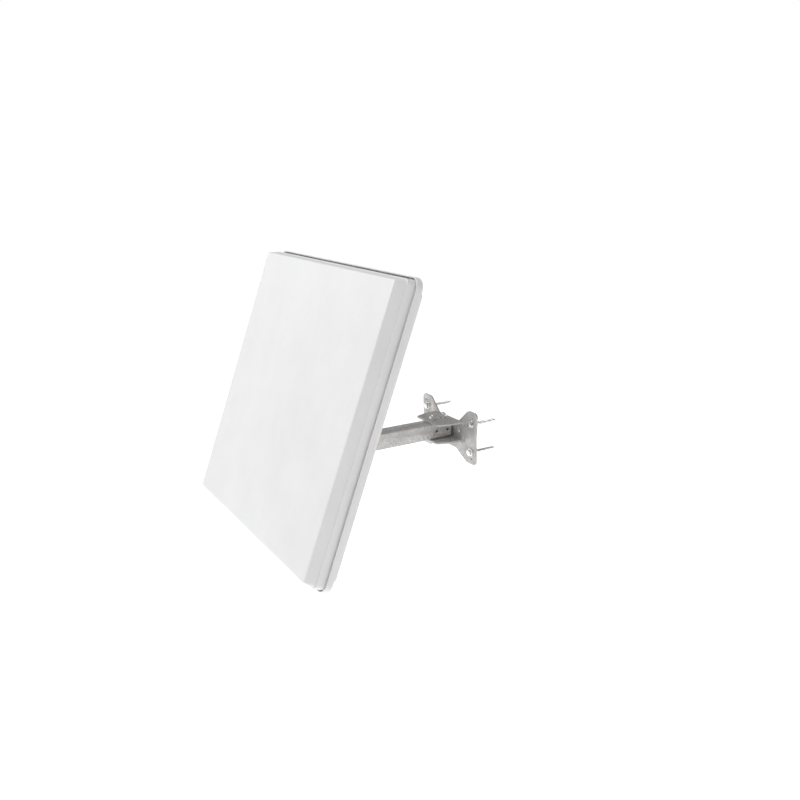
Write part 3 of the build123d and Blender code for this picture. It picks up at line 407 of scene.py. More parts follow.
@dataclass(frozen=True)
class Lathe:
    """A solid of revolution about +Z, from a chain of (radius, height) points."""

    points: tuple[tuple[float, float], ...]
    steps: int = 32

    def build(self, name: str) -> bpy.types.Object:
        """Extrude a vertex along the profile, and spin the chain into a closed skin.

        Args:
            name: Name of the new object.

        Returns:
            The new object.
        """
        bpy.ops.mesh.primitive_plane_add(size=MM)
        piece = bpy.context.active_object
        piece.name = name
        with editing(piece, "VERT"):
            bpy.ops.mesh.merge(type="CENTER")
            radius, height = self.points[0]
            bpy.ops.transform.translate(value=(radius, 0.0, height))
            for (radius, height), (next_radius, next_height) in zip(self.points, self.points[1:]):
                step = (next_radius - radius, 0.0, next_height - height)
                bpy.ops.mesh.extrude_region_move(TRANSFORM_OT_translate={"value": step})
            bpy.ops.mesh.select_all(action="SELECT")
            bpy.ops.mesh.spin(steps=self.steps, angle=math.tau, center=(0.0, 0.0, 0.0), axis=(0.0, 0.0, 1.0))
        tidy_mesh(piece, 1e-6)
        return piece


# ------------------------------------------------------------------ shader wiring
class Wiring:
    """Adds and links the nodes of one material or node group."""

    def __init__(self, tree: bpy.types.NodeTree) -> None:
        self.tree = tree

    def add(self, kind: str, settings: dict[str, object] | None = None, **inputs: object) -> bpy.types.Node:
        """Add a node.

        Args:
            kind: Node type without its ShaderNode prefix.
            settings: Properties of the node itself.
            **inputs: Input sockets by name, spaces as underscores; a socket links, a value is set.

        Returns:
            The new node.
        """
        node = self.tree.nodes.new("ShaderNode" + kind)
        for name, value in (settings or {}).items():
            setattr(node, name, value)
        for name, value in inputs.items():
            self.feed(node, name.replace("_", " "), value)
        return node

    def feed(self, node: bpy.types.Node, name: str, value: object) -> None:
        """Link a socket to, or set a value on, one input."""
        socket = node.inputs[int(name[1:])] if name[0] == "i" and name[1:].isdigit() else node.inputs[name]
        if isinstance(value, bpy.types.NodeSocket):
            self.tree.links.new(value, socket)
        else:
            socket.default_value = value

    def maths(self, operation: str, first: object, second: object = 0.0) -> bpy.types.NodeSocket:
        """Combine two numbers."""
        node = self.add("Math", {"operation": operation}, i0=first, i1=second)
        return node.outputs[0]

    def ranged(
        self, value: object, low: float, high: float, new_low: float, new_high: float
    ) -> bpy.types.NodeSocket:
        """Map a number from one range to another, clamped."""
        limits = {"From_Min": low, "From_Max": high, "To_Min": new_low, "To_Max": new_high}
        return self.add("MapRange", None, Value=value, **limits).outputs[0]

    def mixed(self, share: object, first: object, second: object) -> bpy.types.NodeSocket:
        """Mix two colours, each a socket or red, green and blue."""
        pair = ((*colour, 1.0) if isinstance(colour, tuple) else colour for colour in (first, second))
        node = self.add("Mix", {"data_type": "RGBA"}, i0=share, **dict(zip(("i6", "i7"), pair)))
        return node.outputs[2]


class GroupWiring(Wiring):
    """A shared node group with number inputs and outputs, and object coordinates at hand."""

    def __init__(self, name: str, inputs: dict[str, float], outputs: Sequence[str]) -> None:
        super().__init__(bpy.data.node_groups.new(name, "ShaderNodeTree"))
        for title, value in inputs.items():
            self.number(title, "INPUT").default_value = value
        for title in outputs:
            self.number(title, "OUTPUT")
        self.entry = self.tree.nodes.new("NodeGroupInput").outputs
        self.place = self.add("TexCoord").outputs["Object"]

    def number(self, title: str, side: str) -> bpy.types.NodeTreeInterfaceSocket:
        """Give the group one number input or output."""
        return self.tree.interface.new_socket(name=title, in_out=side, socket_type="NodeSocketFloat")

    def noise(
        self, scale: object, detail: float, rough: float = 0.5, place: object = None
    ) -> bpy.types.Node:
        """Add a noise texture in object coordinates, or at another place."""
        where = place or self.place
        return self.add("TexNoise", None, Vector=where, Scale=scale, Detail=detail, Roughness=rough)

    def finished(self, **outputs: object) -> bpy.types.NodeTree:
        """Feed the group's outputs by name, and return its tree."""
        leave = self.tree.nodes.new("NodeGroupOutput")
        for name, value in outputs.items():
            self.feed(leave, name, value)
        return self.tree


def grain_group() -> bpy.types.NodeTree:
    """Fine surface grain of moulded plastic and cast metal, as a height from 0 to 1."""
    wiring = GroupWiring("surface_grain", {"Scale": 900.0, "Coarse Scale": 60.0}, ["Height", "Patches"])
    fine = wiring.noise(wiring.entry["Scale"], 3.0, 0.6)
    coarse = wiring.noise(wiring.entry["Coarse Scale"], 4.0, 0.55)
    return wiring.finished(Height=fine.outputs[0], Patches=coarse.outputs[0])


def dust_group() -> bpy.types.NodeTree:
    """Rain-washed dust: vertical streaks and soft blotches, as a mask from 0 to 1."""
    wiring = GroupWiring("rain_dust", {"Streak Scale": 30.0, "Blotch Scale": 6.0, "Amount": 0.5}, ["Mask"])
    squeezed = wiring.add("Mapping", None, Vector=wiring.place, Scale=(1.0, 1.0, 0.08))
    streaks = wiring.noise(wiring.entry["Streak Scale"], 5.0, 0.6, squeezed.outputs[0])
    blotches = wiring.noise(wiring.entry["Blotch Scale"], 4.0, 0.6)
    worn = wiring.maths("MULTIPLY", streaks.outputs[0], blotches.outputs[0])
    mask = wiring.ranged(worn, 0.18, 0.42, 0.0, 1.0)
    return wiring.finished(Mask=wiring.maths("MULTIPLY", mask, wiring.entry["Amount"]))


def spangle_group() -> bpy.types.NodeTree:
    """Zinc spangle of hot-dip galvanised steel: crystals that differ in tone, with thin borders."""
    wiring = GroupWiring("zinc_spangle", {"Scale": 160.0, "Cloud Scale": 25.0}, ["Tone", "Border", "Cloud"])
    wobble = wiring.noise(90.0, 3.0).outputs["Color"]
    shift = {"i0": wobble, "i1": (0.004,) * 3, "i2": wiring.place}
    bent = wiring.add("VectorMath", {"operation": "MULTIPLY_ADD"}, **shift)
    spots = {"Vector": bent.outputs[0], "Scale": wiring.entry["Scale"]}
    crystals = wiring.add("TexVoronoi", None, **spots, Randomness=1.0)
    edges = wiring.add("TexVoronoi", {"feature": "DISTANCE_TO_EDGE"}, **spots)
    return wiring.finished(
        Tone=wiring.add("SeparateColor", None, Color=crystals.outputs["Color"]).outputs[0],
        Border=wiring.ranged(edges.outputs["Distance"], 0.0, 0.06, 1.0, 0.0),
        Cloud=wiring.noise(wiring.entry["Cloud Scale"], 5.0, 0.6).outputs[0],
    )


def wear_group() -> bpy.types.NodeTree:
    """Wear along raised edges, broken up by noise, as a mask from 0 to 1."""
    wiring = GroupWiring("edge_wear", {"Scale": 220.0, "Amount": 0.5}, ["Mask"])
    sharp = wiring.ranged(wiring.add("NewGeometry").outputs["Pointiness"], 0.52, 0.60, 0.0, 1.0)
    noise = wiring.noise(wiring.entry["Scale"], 4.0).outputs[0]
    broken = wiring.maths("MULTIPLY", sharp, wiring.ranged(noise, 0.40, 0.62, 0.0, 1.0))
    return wiring.finished(Mask=wiring.maths("MULTIPLY", broken, wiring.entry["Amount"]))


class Effects:
    """The shared node groups, each built once."""

    grain = grain_group()
    dust = dust_group()
    spangle = spangle_group()
    wear = wear_group()


def use(wiring: Wiring, tree: bpy.types.NodeTree, **inputs: float) -> bpy.types.Node:
    """Place a shared group in a material with its own values."""
    node = wiring.tree.nodes.new("ShaderNodeGroup")
    node.node_tree = tree
    for name, value in inputs.items():
        wiring.feed(node, name.replace("_", " "), value)
    return node


Colour = tuple[float, float, float]


@dataclass(frozen=True)
class Finish:
    """Common part of every finish: its name, and the material it makes once."""

    name: str

    def material(self) -> bpy.types.Material:
        """Return this finish's material, making it the first time."""
        found = bpy.data.materials.get(self.name)
        if found:
            return found
        made = bpy.data.materials.new(self.name)
        made.use_nodes = True
        wiring = Wiring(made.node_tree)
        shader = made.node_tree.nodes["Principled BSDF"]
        self.wire(wiring, shader)
        return made

    def wire(self, wiring: Wiring, shader: bpy.types.Node) -> None:
        """Wire the finish's nodes to the shader."""
        raise NotImplementedError

    def bump(
        self, wiring: Wiring, shader: bpy.types.Node, height: object, strength: float, depth: float
    ) -> None:
        """Feed a height to the shader's normal."""
        node = wiring.add("Bump", None, Height=height, Strength=strength, Distance=depth)
        wiring.feed(shader, "Normal", node.outputs[0])


@dataclass(frozen=True)
class MouldedPlastic(Finish):
    """Smooth moulded plastic with a fine grain, soft tone patches and a little dust."""

    colour: Colour
    shade: Colour
    dirt: Colour
    rough: float
    grain: float = 900.0
    depth: float = 0.00002
    dust: float = 0.25

    def wire(self, wiring: Wiring, shader: bpy.types.Node) -> None:
        """Wire the finish's nodes to the shader."""
        grain = use(wiring, Effects.grain, Scale=self.grain, Coarse_Scale=9.0)
        dust = use(wiring, Effects.dust, Streak_Scale=45.0, Blotch_Scale=7.0, Amount=self.dust)
        tone = wiring.ranged(grain.outputs["Patches"], 0.35, 0.65, 0.0, 1.0)
        base = wiring.mixed(tone, self.colour, self.shade)
        wiring.feed(shader, "Base Color", wiring.mixed(dust.outputs["Mask"], base, self.dirt))
        rough = wiring.ranged(grain.outputs["Patches"], 0.3, 0.7, self.rough - 0.05, self.rough + 0.07)
        wiring.feed(shader, "Roughness", rough)
        self.bump(wiring, shader, grain.outputs["Height"], 0.35, self.depth)


@dataclass(frozen=True)
class Galvanised(Finish):
    """Hot-dip galvanised steel: spangle, cloudy oxide and brighter worn edges."""

    colour: Colour
    dark: Colour
    bright: Colour
    metal: float = 0.75
    rough: float = 0.48
    spangle: float = 170.0

    def wire(self, wiring: Wiring, shader: bpy.types.Node) -> None:
        """Wire the finish's nodes to the shader."""
        zinc = use(wiring, Effects.spangle, Scale=self.spangle, Cloud_Scale=28.0)
        wear = use(wiring, Effects.wear, Scale=240.0, Amount=0.8)
        dust = use(wiring, Effects.dust, Streak_Scale=60.0, Blotch_Scale=14.0, Amount=0.45)
        facet = wiring.ranged(zinc.outputs["Tone"], 0.0, 1.0, 0.0, 0.55)
        crystal = wiring.mixed(facet, self.colour, self.dark)
        cloudy = wiring.mixed(wiring.ranged(zinc.outputs["Cloud"], 0.35, 0.7, 0.0, 0.5), crystal, self.dark)
        dusty = wiring.mixed(dust.outputs["Mask"], cloudy, self.dark)
        wiring.feed(shader, "Base Color", wiring.mixed(wear.outputs["Mask"], dusty, self.bright))
        shader.inputs["Metallic"].default_value = self.metal
        tone = wiring.maths("ADD", zinc.outputs["Tone"], zinc.outputs["Cloud"])
        wiring.feed(shader, "Roughness", wiring.ranged(tone, 0.3, 1.5, self.rough - 0.1, self.rough + 0.14))
        swell = wiring.maths("MULTIPLY", zinc.outputs["Cloud"], 2.0)
        height = wiring.maths("ADD", zinc.outputs["Border"], swell)
        self.bump(wiring, shader, height, 0.25, 0.00008)


@dataclass(frozen=True)
class PlatedMetal(Finish):
    """Bright plated or machined metal with fine turning marks and wear."""

    colour: Colour
    dull: Colour
    rough: float
    metal: float = 1.0

    def wire(self, wiring: Wiring, shader: bpy.types.Node) -> None:
        """Wire the finish's nodes to the shader."""
        grain = use(wiring, Effects.grain, Scale=1400.0, Coarse_Scale=160.0)
        wear = use(wiring, Effects.wear, Scale=500.0, Amount=0.6)
        patches = wiring.ranged(grain.outputs["Patches"], 0.35, 0.7, 0.0, 1.0)
        base = wiring.mixed(patches, self.colour, self.dull)
        wiring.feed(shader, "Base Color", wiring.mixed(wear.outputs["Mask"], base, self.colour))
        shader.inputs["Metallic"].default_value = self.metal
        rough = wiring.ranged(grain.outputs["Patches"], 0.3, 0.7, self.rough - 0.06, self.rough + 0.14)
        wiring.feed(shader, "Roughness", rough)
        self.bump(wiring, shader, grain.outputs["Height"], 0.2, 0.00002)


@dataclass(frozen=True)
class StudioPaper(Finish):
    """Pale seamless paper that glows a little, so that it stays bright under the object."""

    colour: Colour
    shade: Colour
    rough: float
    glow: float

    def wire(self, wiring: Wiring, shader: bpy.types.Node) -> None:
        """Wire the finish's nodes to the shader."""
        grain = use(wiring, Effects.grain, Scale=300.0, Coarse_Scale=0.6)
        wiring.feed(shader, "Base Color", wiring.mixed(grain.outputs["Patches"], self.colour, self.shade))
        shader.inputs["Roughness"].default_value = self.rough
        shader.inputs["Emission Color"].default_value = (1.0, 1.0, 1.0, 1.0)
        shader.inputs["Emission Strength"].default_value = self.glow


class Finishes:
    """The finishes of this antenna."""

    cover = MouldedPlastic(
        "cover_plastic", (0.86, 0.86, 0.865), (0.83, 0.83, 0.84), (0.70, 0.69, 0.67), 0.42, dust=0.12,
    )
    tray = MouldedPlastic(
        "tray_plastic", (0.855, 0.85, 0.85), (0.825, 0.82, 0.82), (0.68, 0.66, 0.64), 0.46, dust=0.18,
    )
    galvanised = Galvanised(
        "galvanised_steel", (0.59, 0.575, 0.56), (0.44, 0.43, 0.42), (0.82, 0.81, 0.79), metal=0.45,
    )
    bolt = PlatedMetal("bright_zinc", (0.86, 0.86, 0.87), (0.66, 0.66, 0.68), 0.22)
    weld = Galvanised(
        "weld_zinc", (0.46, 0.45, 0.44), (0.34, 0.33, 0.32), (0.66, 0.65, 0.63), rough=0.58, spangle=700.0,
    )
    cast = PlatedMetal("cast_zinc", (0.52, 0.53, 0.54), (0.40, 0.41, 0.42), 0.5)
    nickel = PlatedMetal("nickel_plate", (0.80, 0.78, 0.74), (0.62, 0.60, 0.56), 0.2)
    aluminium = PlatedMetal("mill_aluminium", (0.78, 0.79, 0.80), (0.66, 0.67, 0.68), 0.33)
    copper = PlatedMetal("copper_film", (0.86, 0.50, 0.32), (0.66, 0.36, 0.22), 0.3)
    feed = MouldedPlastic(
        "feed_film", (0.62, 0.48, 0.20), (0.52, 0.38, 0.14), (0.45, 0.36, 0.20), 0.3, dust=0.05,
    )
    foam = MouldedPlastic(
        "foam_sheet", (0.86, 0.86, 0.82), (0.80, 0.80, 0.76), (0.6, 0.58, 0.5),
        0.9, grain=600.0, depth=0.0002, dust=0.05,
    )
    rubber = MouldedPlastic(
        "grey_rubber", (0.40, 0.40, 0.40), (0.36, 0.36, 0.36), (0.30, 0.29, 0.28), 0.6, dust=0.2,
    )
    grey = MouldedPlastic(
        "grey_plastic", (0.16, 0.16, 0.165), (0.13, 0.13, 0.135), (0.28, 0.26, 0.24), 0.5, dust=0.25,
    )
    paper = StudioPaper("studio_paper", (0.90, 0.90, 0.90), (0.89, 0.89, 0.89), 0.8, 0.76)
    board = MouldedPlastic(
        "circuit_board", (0.02, 0.13, 0.05), (0.015, 0.10, 0.04), (0.05, 0.1, 0.05), 0.35, dust=0.0,
    )


SLOT_FINISHES: dict[str, Finish] = {
    "white_cover": Finishes.cover,
    "white_tray": Finishes.tray,
    "rubber": Finishes.rubber,
    "foam": Finishes.foam,
    "copper_film": Finishes.copper,
    "feed_film": Finishes.feed,
    "aluminium": Finishes.aluminium,
    "cast_zinc": Finishes.cast,
    "circuit_board": Finishes.board,
    "nickel": Finishes.nickel,
    "galvanised": Finishes.galvanised,
    "zinc_bolt": Finishes.bolt,
    "grey_plastic": Finishes.grey,
    "weld": Finishes.weld,
}


def dress(piece: bpy.types.Object, finish: Finish) -> None:
    """Give a piece one finish all over."""
    piece.data.materials.clear()
    piece.data.materials.append(finish.material())


def slot_of(node: str) -> str:
    """The record's material slot of a CAD node."""
    return next(part["material_slot"] for part in frame["record"]["subparts"] if part["node"] == node)


def fit_out(piece: bpy.types.Object, node: str, body: Body) -> bpy.types.Object:
    """Let a finished piece stand for a CAD node.

    Args:
        piece: The finished piece.
        node: The CAD node it replaces.
        body: The body it rides on.

    Returns:
        The same piece.
    """
    slot = slot_of(node)
    dress(piece, SLOT_FINISHES[slot])
    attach(piece, body.value)
    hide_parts(node)
    log.info("%s replaces %s: %d faces", piece.name, node, len(piece.data.polygons))
    return piece


# ------------------------------------------------------------------ fasteners
def copied(piece: bpy.types.Object, places: Sequence[Matrix], name: str) -> bpy.types.Object:
    """Copy a piece to each place and join the copies.

    Args:
        piece: The model piece, which is used up.
        places: Matrix of each copy.
        name: Name of the joined piece.

    Returns:
        One object that holds all the copies.
    """
    copies = []
    for place in places:
        select_only(piece)
        bpy.ops.object.duplicate()
        copies.append(settle(bpy.context.active_object, place))
    bpy.data.objects.remove(piece)
    return joined(copies, name)


@dataclass(frozen=True)
class Thread:
    """Ridges of a screw thread along a shank."""

    radius: float
    pitch: float
    depth_share: float = 0.5

    def profile(self, start: float, end: float) -> list[tuple[float, float]]:
        """Chain of (radius, height) points from start to end."""
        turns = max(1, round((end - start) / self.pitch))
        step = (end - start) / turns
        root = self.radius - self.depth_share * self.pitch
        points = []
        for turn in range(turns):
            points.append((root, start + turn * step))
            points.append((self.radius, start + (turn + 0.4) * step))
            points.append((self.radius, start + (turn + 0.6) * step))
        return points + [(root, end)]


@dataclass(frozen=True)
class Hexagon:
    """A chamfered hexagon of a bolt head or a nut, standing on z = 0."""

    across_flats: float
    height: float
    bore: float = 0.0
    both_ends: bool = False
    chamfer_share: float = 0.96
    slope: float = math.tan(math.radians(28.0))
    steps: int = 48

    def build(self, name: str) -> bpy.types.Object:
        """Make the hexagon, chamfer its corners and bore it."""
        corner = self.across_flats / math.sqrt(3.0)
        bpy.ops.mesh.primitive_cylinder_add(
            vertices=6, radius=corner, depth=self.height, location=(0.0, 0.0, self.height / 2)
        )
        piece = settle(bpy.context.active_object)
        inner = self.across_flats / 2 * self.chamfer_share
        wide = corner * 1.05
        drop = (wide - inner) * self.slope
        low = (inner, 0.0) if self.both_ends else (wide, 0.0)
        top = self.height
        points = ((0.0, 0.0), low, (wide, drop), (wide, top - drop), (inner, top), (0.0, top))
        cut(piece, Lathe(points, self.steps).build("chamfer"), "INTERSECT")
        if self.bore > 0:
            out = 0.6 * MM
            flare = self.bore + out
            points = (
                (0.0, -out), (flare + out, -out), (self.bore, out),
                (self.bore, self.height - out), (flare + out, self.height + out), (0.0, self.height + out),
            )
            cut(piece, Lathe(points, self.steps).build("bore"))
        piece.name = name
        return piece


@dataclass(frozen=True)
class HexBolt:
    """A hexagon-head bolt or wood screw along +Z, with the underside of its head at z = 0."""

    thread: Thread
    head: Hexagon
    length: float
    plain: float
    neck: float = 0.0
    neck_radius: float = 0.0
    point: float = 0.0

    def build(self, name: str) -> bpy.types.Object:
        """Make the head and the threaded shank."""
        head = self.head.build(name)
        head = settle(head, Matrix.Rotation(math.pi, 4, "X"))
        radius = self.thread.radius
        points = [(0.0, -MM), (self.neck_radius or radius, -MM)]
        if self.neck:
            points.append((self.neck_radius, self.neck))
        points += [(radius, self.neck), (radius, self.plain)]
        points += self.thread.profile(self.plain, self.length - (0.0 if self.point else 0.6 * MM))
        if self.point:
            points += [(0.45 * radius, self.length + 0.6 * self.point), (0.0, self.length + self.point)]
        else:
            points += [(radius * 0.8, self.length), (0.0, self.length)]
        shank = Lathe(tuple(points), 24).build("shank")
        return joined([head, shank], name)


@dataclass(frozen=True)
class Washer:
    """A flat washer on z = 0, with rounded edges."""

    inner: float
    outer: float
    thickness: float

    def build(self, name: str) -> bpy.types.Object:
        """Turn the washer's section into a ring."""
        ease = self.thickness * 0.25
        points = (
            (self.inner, ease), (self.inner + ease, 0.0), (self.outer - ease, 0.0), (self.outer, ease),
            (self.outer, self.thickness - ease), (self.outer - 1.6 * ease, self.thickness),
            (self.inner + ease, self.thickness), (self.inner, self.thickness - ease), (self.inner, ease),
        )
        return Lathe(points, 48).build(name)


class Side(Enum):
    """Which end of a solid's box a fastener starts from."""

    LOW = "low"
    HIGH = "high"


@dataclass(frozen=True)
class FastenerSet:
    """Identical fasteners, placed where a CAD node has its solids."""

    node: str
    body: Body
    axis: int
    side: Side
    axes: Matrix = WORLD
    twist: float = 0.7

    def places(self) -> list[Matrix]:
        """Matrix of each fastener, with +Z pointing away from the end that it starts from."""
        found = []
        for index, box in enumerate(solids_in(self.node, self.axes)):
            place = box.centre
            place[self.axis] = box.low[self.axis] if self.side is Side.LOW else box.high[self.axis]
            ahead = Vector((0.0, 0.0, 0.0))
            ahead[self.axis] = 1.0 if self.side is Side.LOW else -1.0
            spin = Matrix.Rotation(self.twist * (index + 1), 4, "Z")
            found.append(self.axes @ along(place, ahead) @ spin)
        return found

    def reach(self) -> float:
        """Length of each fastener along its axis."""
        return solids_in(self.node, self.axes)[0].size[self.axis]

    def span(self) -> float:
        """Smallest width of each fastener across its axis."""
        size = solids_in(self.node, self.axes)[0].size
        return min(size[axis] for axis in range(3) if axis != self.axis)

    def put(self, model: bpy.types.Object, shift: float = 0.0, degrees: float = 38.0) -> bpy.types.Object:
        """Copy a model to every place, and let the copies stand for the node.

        Args:
            model: The fastener, standing on its starting end.
            shift: How far the model's z = 0 lies beyond the starting end.
            degrees: Angle above which edges stay sharp.
        """
        places = [place @ Matrix.Translation((0.0, 0.0, shift)) for place in self.places()]
        whole = copied(model, places, self.node + "_detailed")
        smooth(whole, degrees)
        return fit_out(whole, self.node, self.body)


def washers(node: str, body: Body, axis: int, inner: float, axes: Matrix = WORLD) -> None:
    """Replace a node's plain rings by washers with rounded edges."""
    group_of = FastenerSet(node, body, axis, Side.LOW, axes)
    group_of.put(Washer(inner, group_of.span() / 2, group_of.reach()).build(node))


def nuts(node: str, body: Body, axis: int, bolt_radius: float, axes: Matrix = WORLD) -> None:
    """Replace a node's plain nuts by chamfered ones."""
    group_of = FastenerSet(node, body, axis, Side.LOW, axes)
    box = solids_in(node, axes)[0]
    flats = min(box.size[other] for other in range(3) if other != axis)
    bore = bolt_radius + 0.05 * MM
    group_of.put(Hexagon(flats, group_of.reach(), bore, both_ends=True).build(node))


@dataclass(frozen=True)
class BoltKind:
    """Sizes of one kind of hexagon bolt."""

    radius: float
    flats: float
    head: float
    pitch: float
    thread_length: float


M8 = BoltKind(4.0 * MM, 13.0 * MM, 5.3 * MM, 1.25 * MM, 22.0 * MM)
M6 = BoltKind(3.0 * MM, 10.0 * MM, 4.0 * MM, 1.0 * MM, 18.0 * MM)


def bolts(node: str, body: Body, axis: int, side: Side, kind: BoltKind, axes: Matrix = WORLD) -> None:
    """Replace a node's plain bolts by chamfered and threaded ones."""
    group_of = FastenerSet(node, body, axis, side, axes)
    shank = group_of.reach() - kind.head
    thread = Thread(kind.radius, kind.pitch)
    head = Hexagon(kind.flats, kind.head)
    plain = max(shank - kind.thread_length, 1.5 * MM)
    group_of.put(HexBolt(thread, head, shank, plain).build(node), kind.head)


@dataclass(frozen=True)
class WallScrews:
    """The four wood screws that hold the bracket to the wall."""

    head: float = 5.0 * MM
    flats: float = 12.0 * MM
    radius: float = 3.5 * MM
    neck_radius: float = 3.8 * MM
    neck: float = 4.9 * MM
    point: float = 7.0 * MM
    pitch: float = 2.6 * MM
    plain: float = 20.0 * MM

    def build(self) -> None:
        """Make the screws and their washers."""
        screws = FastenerSet("wall_screws", Body.WALL_ARM, 1, Side.LOW)
        length = screws.reach() - self.head - self.point
        thread = Thread(self.radius, self.pitch, 0.38)
        head = Hexagon(self.flats, self.head)
        model = HexBolt(thread, head, length, self.plain, self.neck, self.neck_radius, self.point)
        screws.put(model.build("wall_screw"), self.head)
        washers("wall_screw_washers", Body.WALL_ARM, 1, self.neck_radius + 0.25 * MM)


# ------------------------------------------------------------------ antenna casing
@dataclass(frozen=True)
class FrontCover:
    """The white cover: a flat face, a drafted wall, a soft shoulder and a steeper skirt."""

    face_edge: float = 2.2 * MM
    shoulder_soft: float = 0.5 * MM
    ledge: float = 1.4 * MM
    wall: float = 2.2 * MM
    face_corner: float = 5.0 * MM
    shoulder_corner: float = 9.0 * MM
    skirt_corner: float = 17.0 * MM
    shoulder_share: float = 0.58
    shoulder_depth: float = 20.0 * MM
    face_spread: float = 10.5 * MM

    def build(self) -> bpy.types.Object:
        """Loft the outer skin and give it its wall."""
        outer = box_in("front_cover", ANTENNA)
        half_width, half_height = outer.high.x, outer.high.y
        face = (half_width - self.face_spread, half_height - self.face_spread)
        spread = self.face_spread * self.shoulder_share
        rings = [
            Ring(face[0] - 12 * MM, face[1] - 12 * MM, self.face_corner, 0.0),
            Ring(face[0], face[1], self.face_corner, 0.0, self.face_edge),
            Ring(face[0] + spread, face[1] + spread, self.shoulder_corner, -self.shoulder_depth, 0.4 * MM),
            Ring(
                face[0] + spread + self.ledge, face[1] + spread + self.ledge, self.shoulder_corner,
                -self.shoulder_depth - 0.4 * MM, self.shoulder_soft,
            ),
            Ring(half_width, half_height, self.skirt_corner, outer.low.z),
        ]
        skin = Loft(tuple(soften(rings)), close_end=False).build("front_cover_skin")
        shell = skin.modifiers.new("wall", "SOLIDIFY")
        shell.thickness = self.wall
        shell.offset = -1.0
        apply_modifiers(skin)
        settle(skin, ANTENNA)
        smooth(skin, 25.0)
        return fit_out(skin, "front_cover", Body.ANTENNA)


@dataclass(frozen=True)
class BackTray:
    """The white tray: a lip round the cover's edge, a rim, and a raised back with ribs."""

    lip: float = 2.0 * MM
    lip_soft: float = 0.35 * MM
    channel_depth: float = 9.0 * MM
    back_step: float = 6.0 * MM
    side_inset: float = 3.5 * MM
    end_inset: float = 22.0 * MM
    corner: float = 22.0 * MM
    box_corner: float = 10.0 * MM
    draft: float = 1.3 * MM
    rib_width: float = 9.0 * MM
    rib_length: float = 150.0 * MM
    rib_height: float = 3.0 * MM
    rib_inset_x: tuple[float, float] = (55.0 * MM, 110.0 * MM)
    rib_rise: float = 125.0 * MM
    rib_edge: float = 15.8 * MM
    front: float = -36.0 * MM

    def shell(self) -> bpy.types.Object:
        """Loft the rim and the raised back as one closed skin."""
        box = box_in("back_tray", ANTENNA)
        half_width, half_height = box.high.x, box.high.y
        front = self.front
        back = box.low.z + self.rib_height
        rim_back = back + self.back_step
        floor = front - self.channel_depth
        lip_out = (half_width - self.draft, half_height - self.draft)
        lip_in = (lip_out[0] - self.lip, lip_out[1] - self.lip)
        raised = (half_width - self.side_inset, half_height - self.end_inset)
        rings = [
            Ring(lip_in[0] - 30 * MM, lip_in[1] - 30 * MM, self.corner, floor),
            Ring(lip_in[0], lip_in[1], self.corner - self.lip, floor, 1.0 * MM),
            Ring(lip_in[0], lip_in[1], self.corner - self.lip, front, self.lip_soft),
            Ring(lip_out[0], lip_out[1], self.corner, front, self.lip_soft),
            Ring(half_width, half_height, self.corner, rim_back, 1.4 * MM),
            Ring(raised[0], raised[1], self.box_corner, rim_back, 0.9 * MM),
            Ring(raised[0] - 0.6 * MM, raised[1] - 0.6 * MM, self.box_corner, back, 1.4 * MM),
            Ring(raised[0] - 12 * MM, raised[1] - 12 * MM, self.box_corner, back),
        ]
        return Loft(tuple(soften(rings, 4))).build("back_tray_shell")

    def rib(self) -> bpy.types.Object:
        """Make one rounded rib on the back, at the origin."""
        half = self.rib_width / 2
        rings = [
            Ring(half + 1 * MM, self.rib_length / 2 + 1 * MM, half, 1.0 * MM),
            Ring(half, self.rib_length / 2, half * 0.95, 0.0, 0.5 * MM),
            Ring(half - 0.5 * MM, self.rib_length / 2 - 0.5 * MM, half * 0.85, -self.rib_height, 1.2 * MM),
            Ring(half - 2.4 * MM, self.rib_length / 2 - 2.4 * MM, half * 0.4, -self.rib_height),
        ]
        return Loft(tuple(soften(rings, 3)), corner_steps=5).build("back_rib")

    def build(self) -> bpy.types.Object:
        """Join the shell and its ribs."""
        shell = self.shell()
        box = box_in("back_tray", ANTENNA)
        back = box.low.z + self.rib_height
        face_half = box.high.x - self.rib_edge
        places = [
            Matrix.Translation((side * (face_half - inset), up * self.rib_rise, back))
            for inset in self.rib_inset_x for side in (-1, 1) for up in (-1, 1)
        ]
        ribs = copied(self.rib(), places, "back_ribs")
        tray = joined([shell, ribs], "back_tray_shell")
        settle(tray, ANTENNA)
        smooth(tray, 25.0)
        return fit_out(tray, "back_tray", Body.ANTENNA)


@dataclass(frozen=True)
class CoverScrews:
    """Pan-head screws round the back of the casing, with crossed recesses."""

    head_radius: float = 3.0 * MM
    head: float = 2.0 * MM
    radius: float = 1.45 * MM
    recess_width: float = 0.8 * MM
    recess_length: float = 3.6 * MM
    recess_depth: float = 1.2 * MM

    def build(self) -> None:
        """Turn the head, cut the recess and place the screws."""
        screws = FastenerSet("cover_screws", Body.ANTENNA, 2, Side.LOW, ANTENNA)
        dome = [
            (self.head_radius * math.cos(angle), self.head * (1 - math.sin(angle)))
            for angle in (math.radians(step) for step in (80, 60, 40, 20, 5))
        ]
        end = screws.reach()
        rim, shank = (self.head_radius, self.head), (self.radius, self.head)
        points = ((0.0, 0.0), *dome, rim, shank, (self.radius, end), (0.0, end))
        model = Lathe(points, 24).build("cover_screw")
        for across in (self.recess_width, self.recess_length):
            other = self.recess_width + self.recess_length - across
            bpy.ops.mesh.primitive_cube_add(size=1.0)
            bar = bpy.context.active_object
            bar.scale = (across, other, 2 * self.recess_depth)
            cut(model, settle(bar))
        screws.put(model)


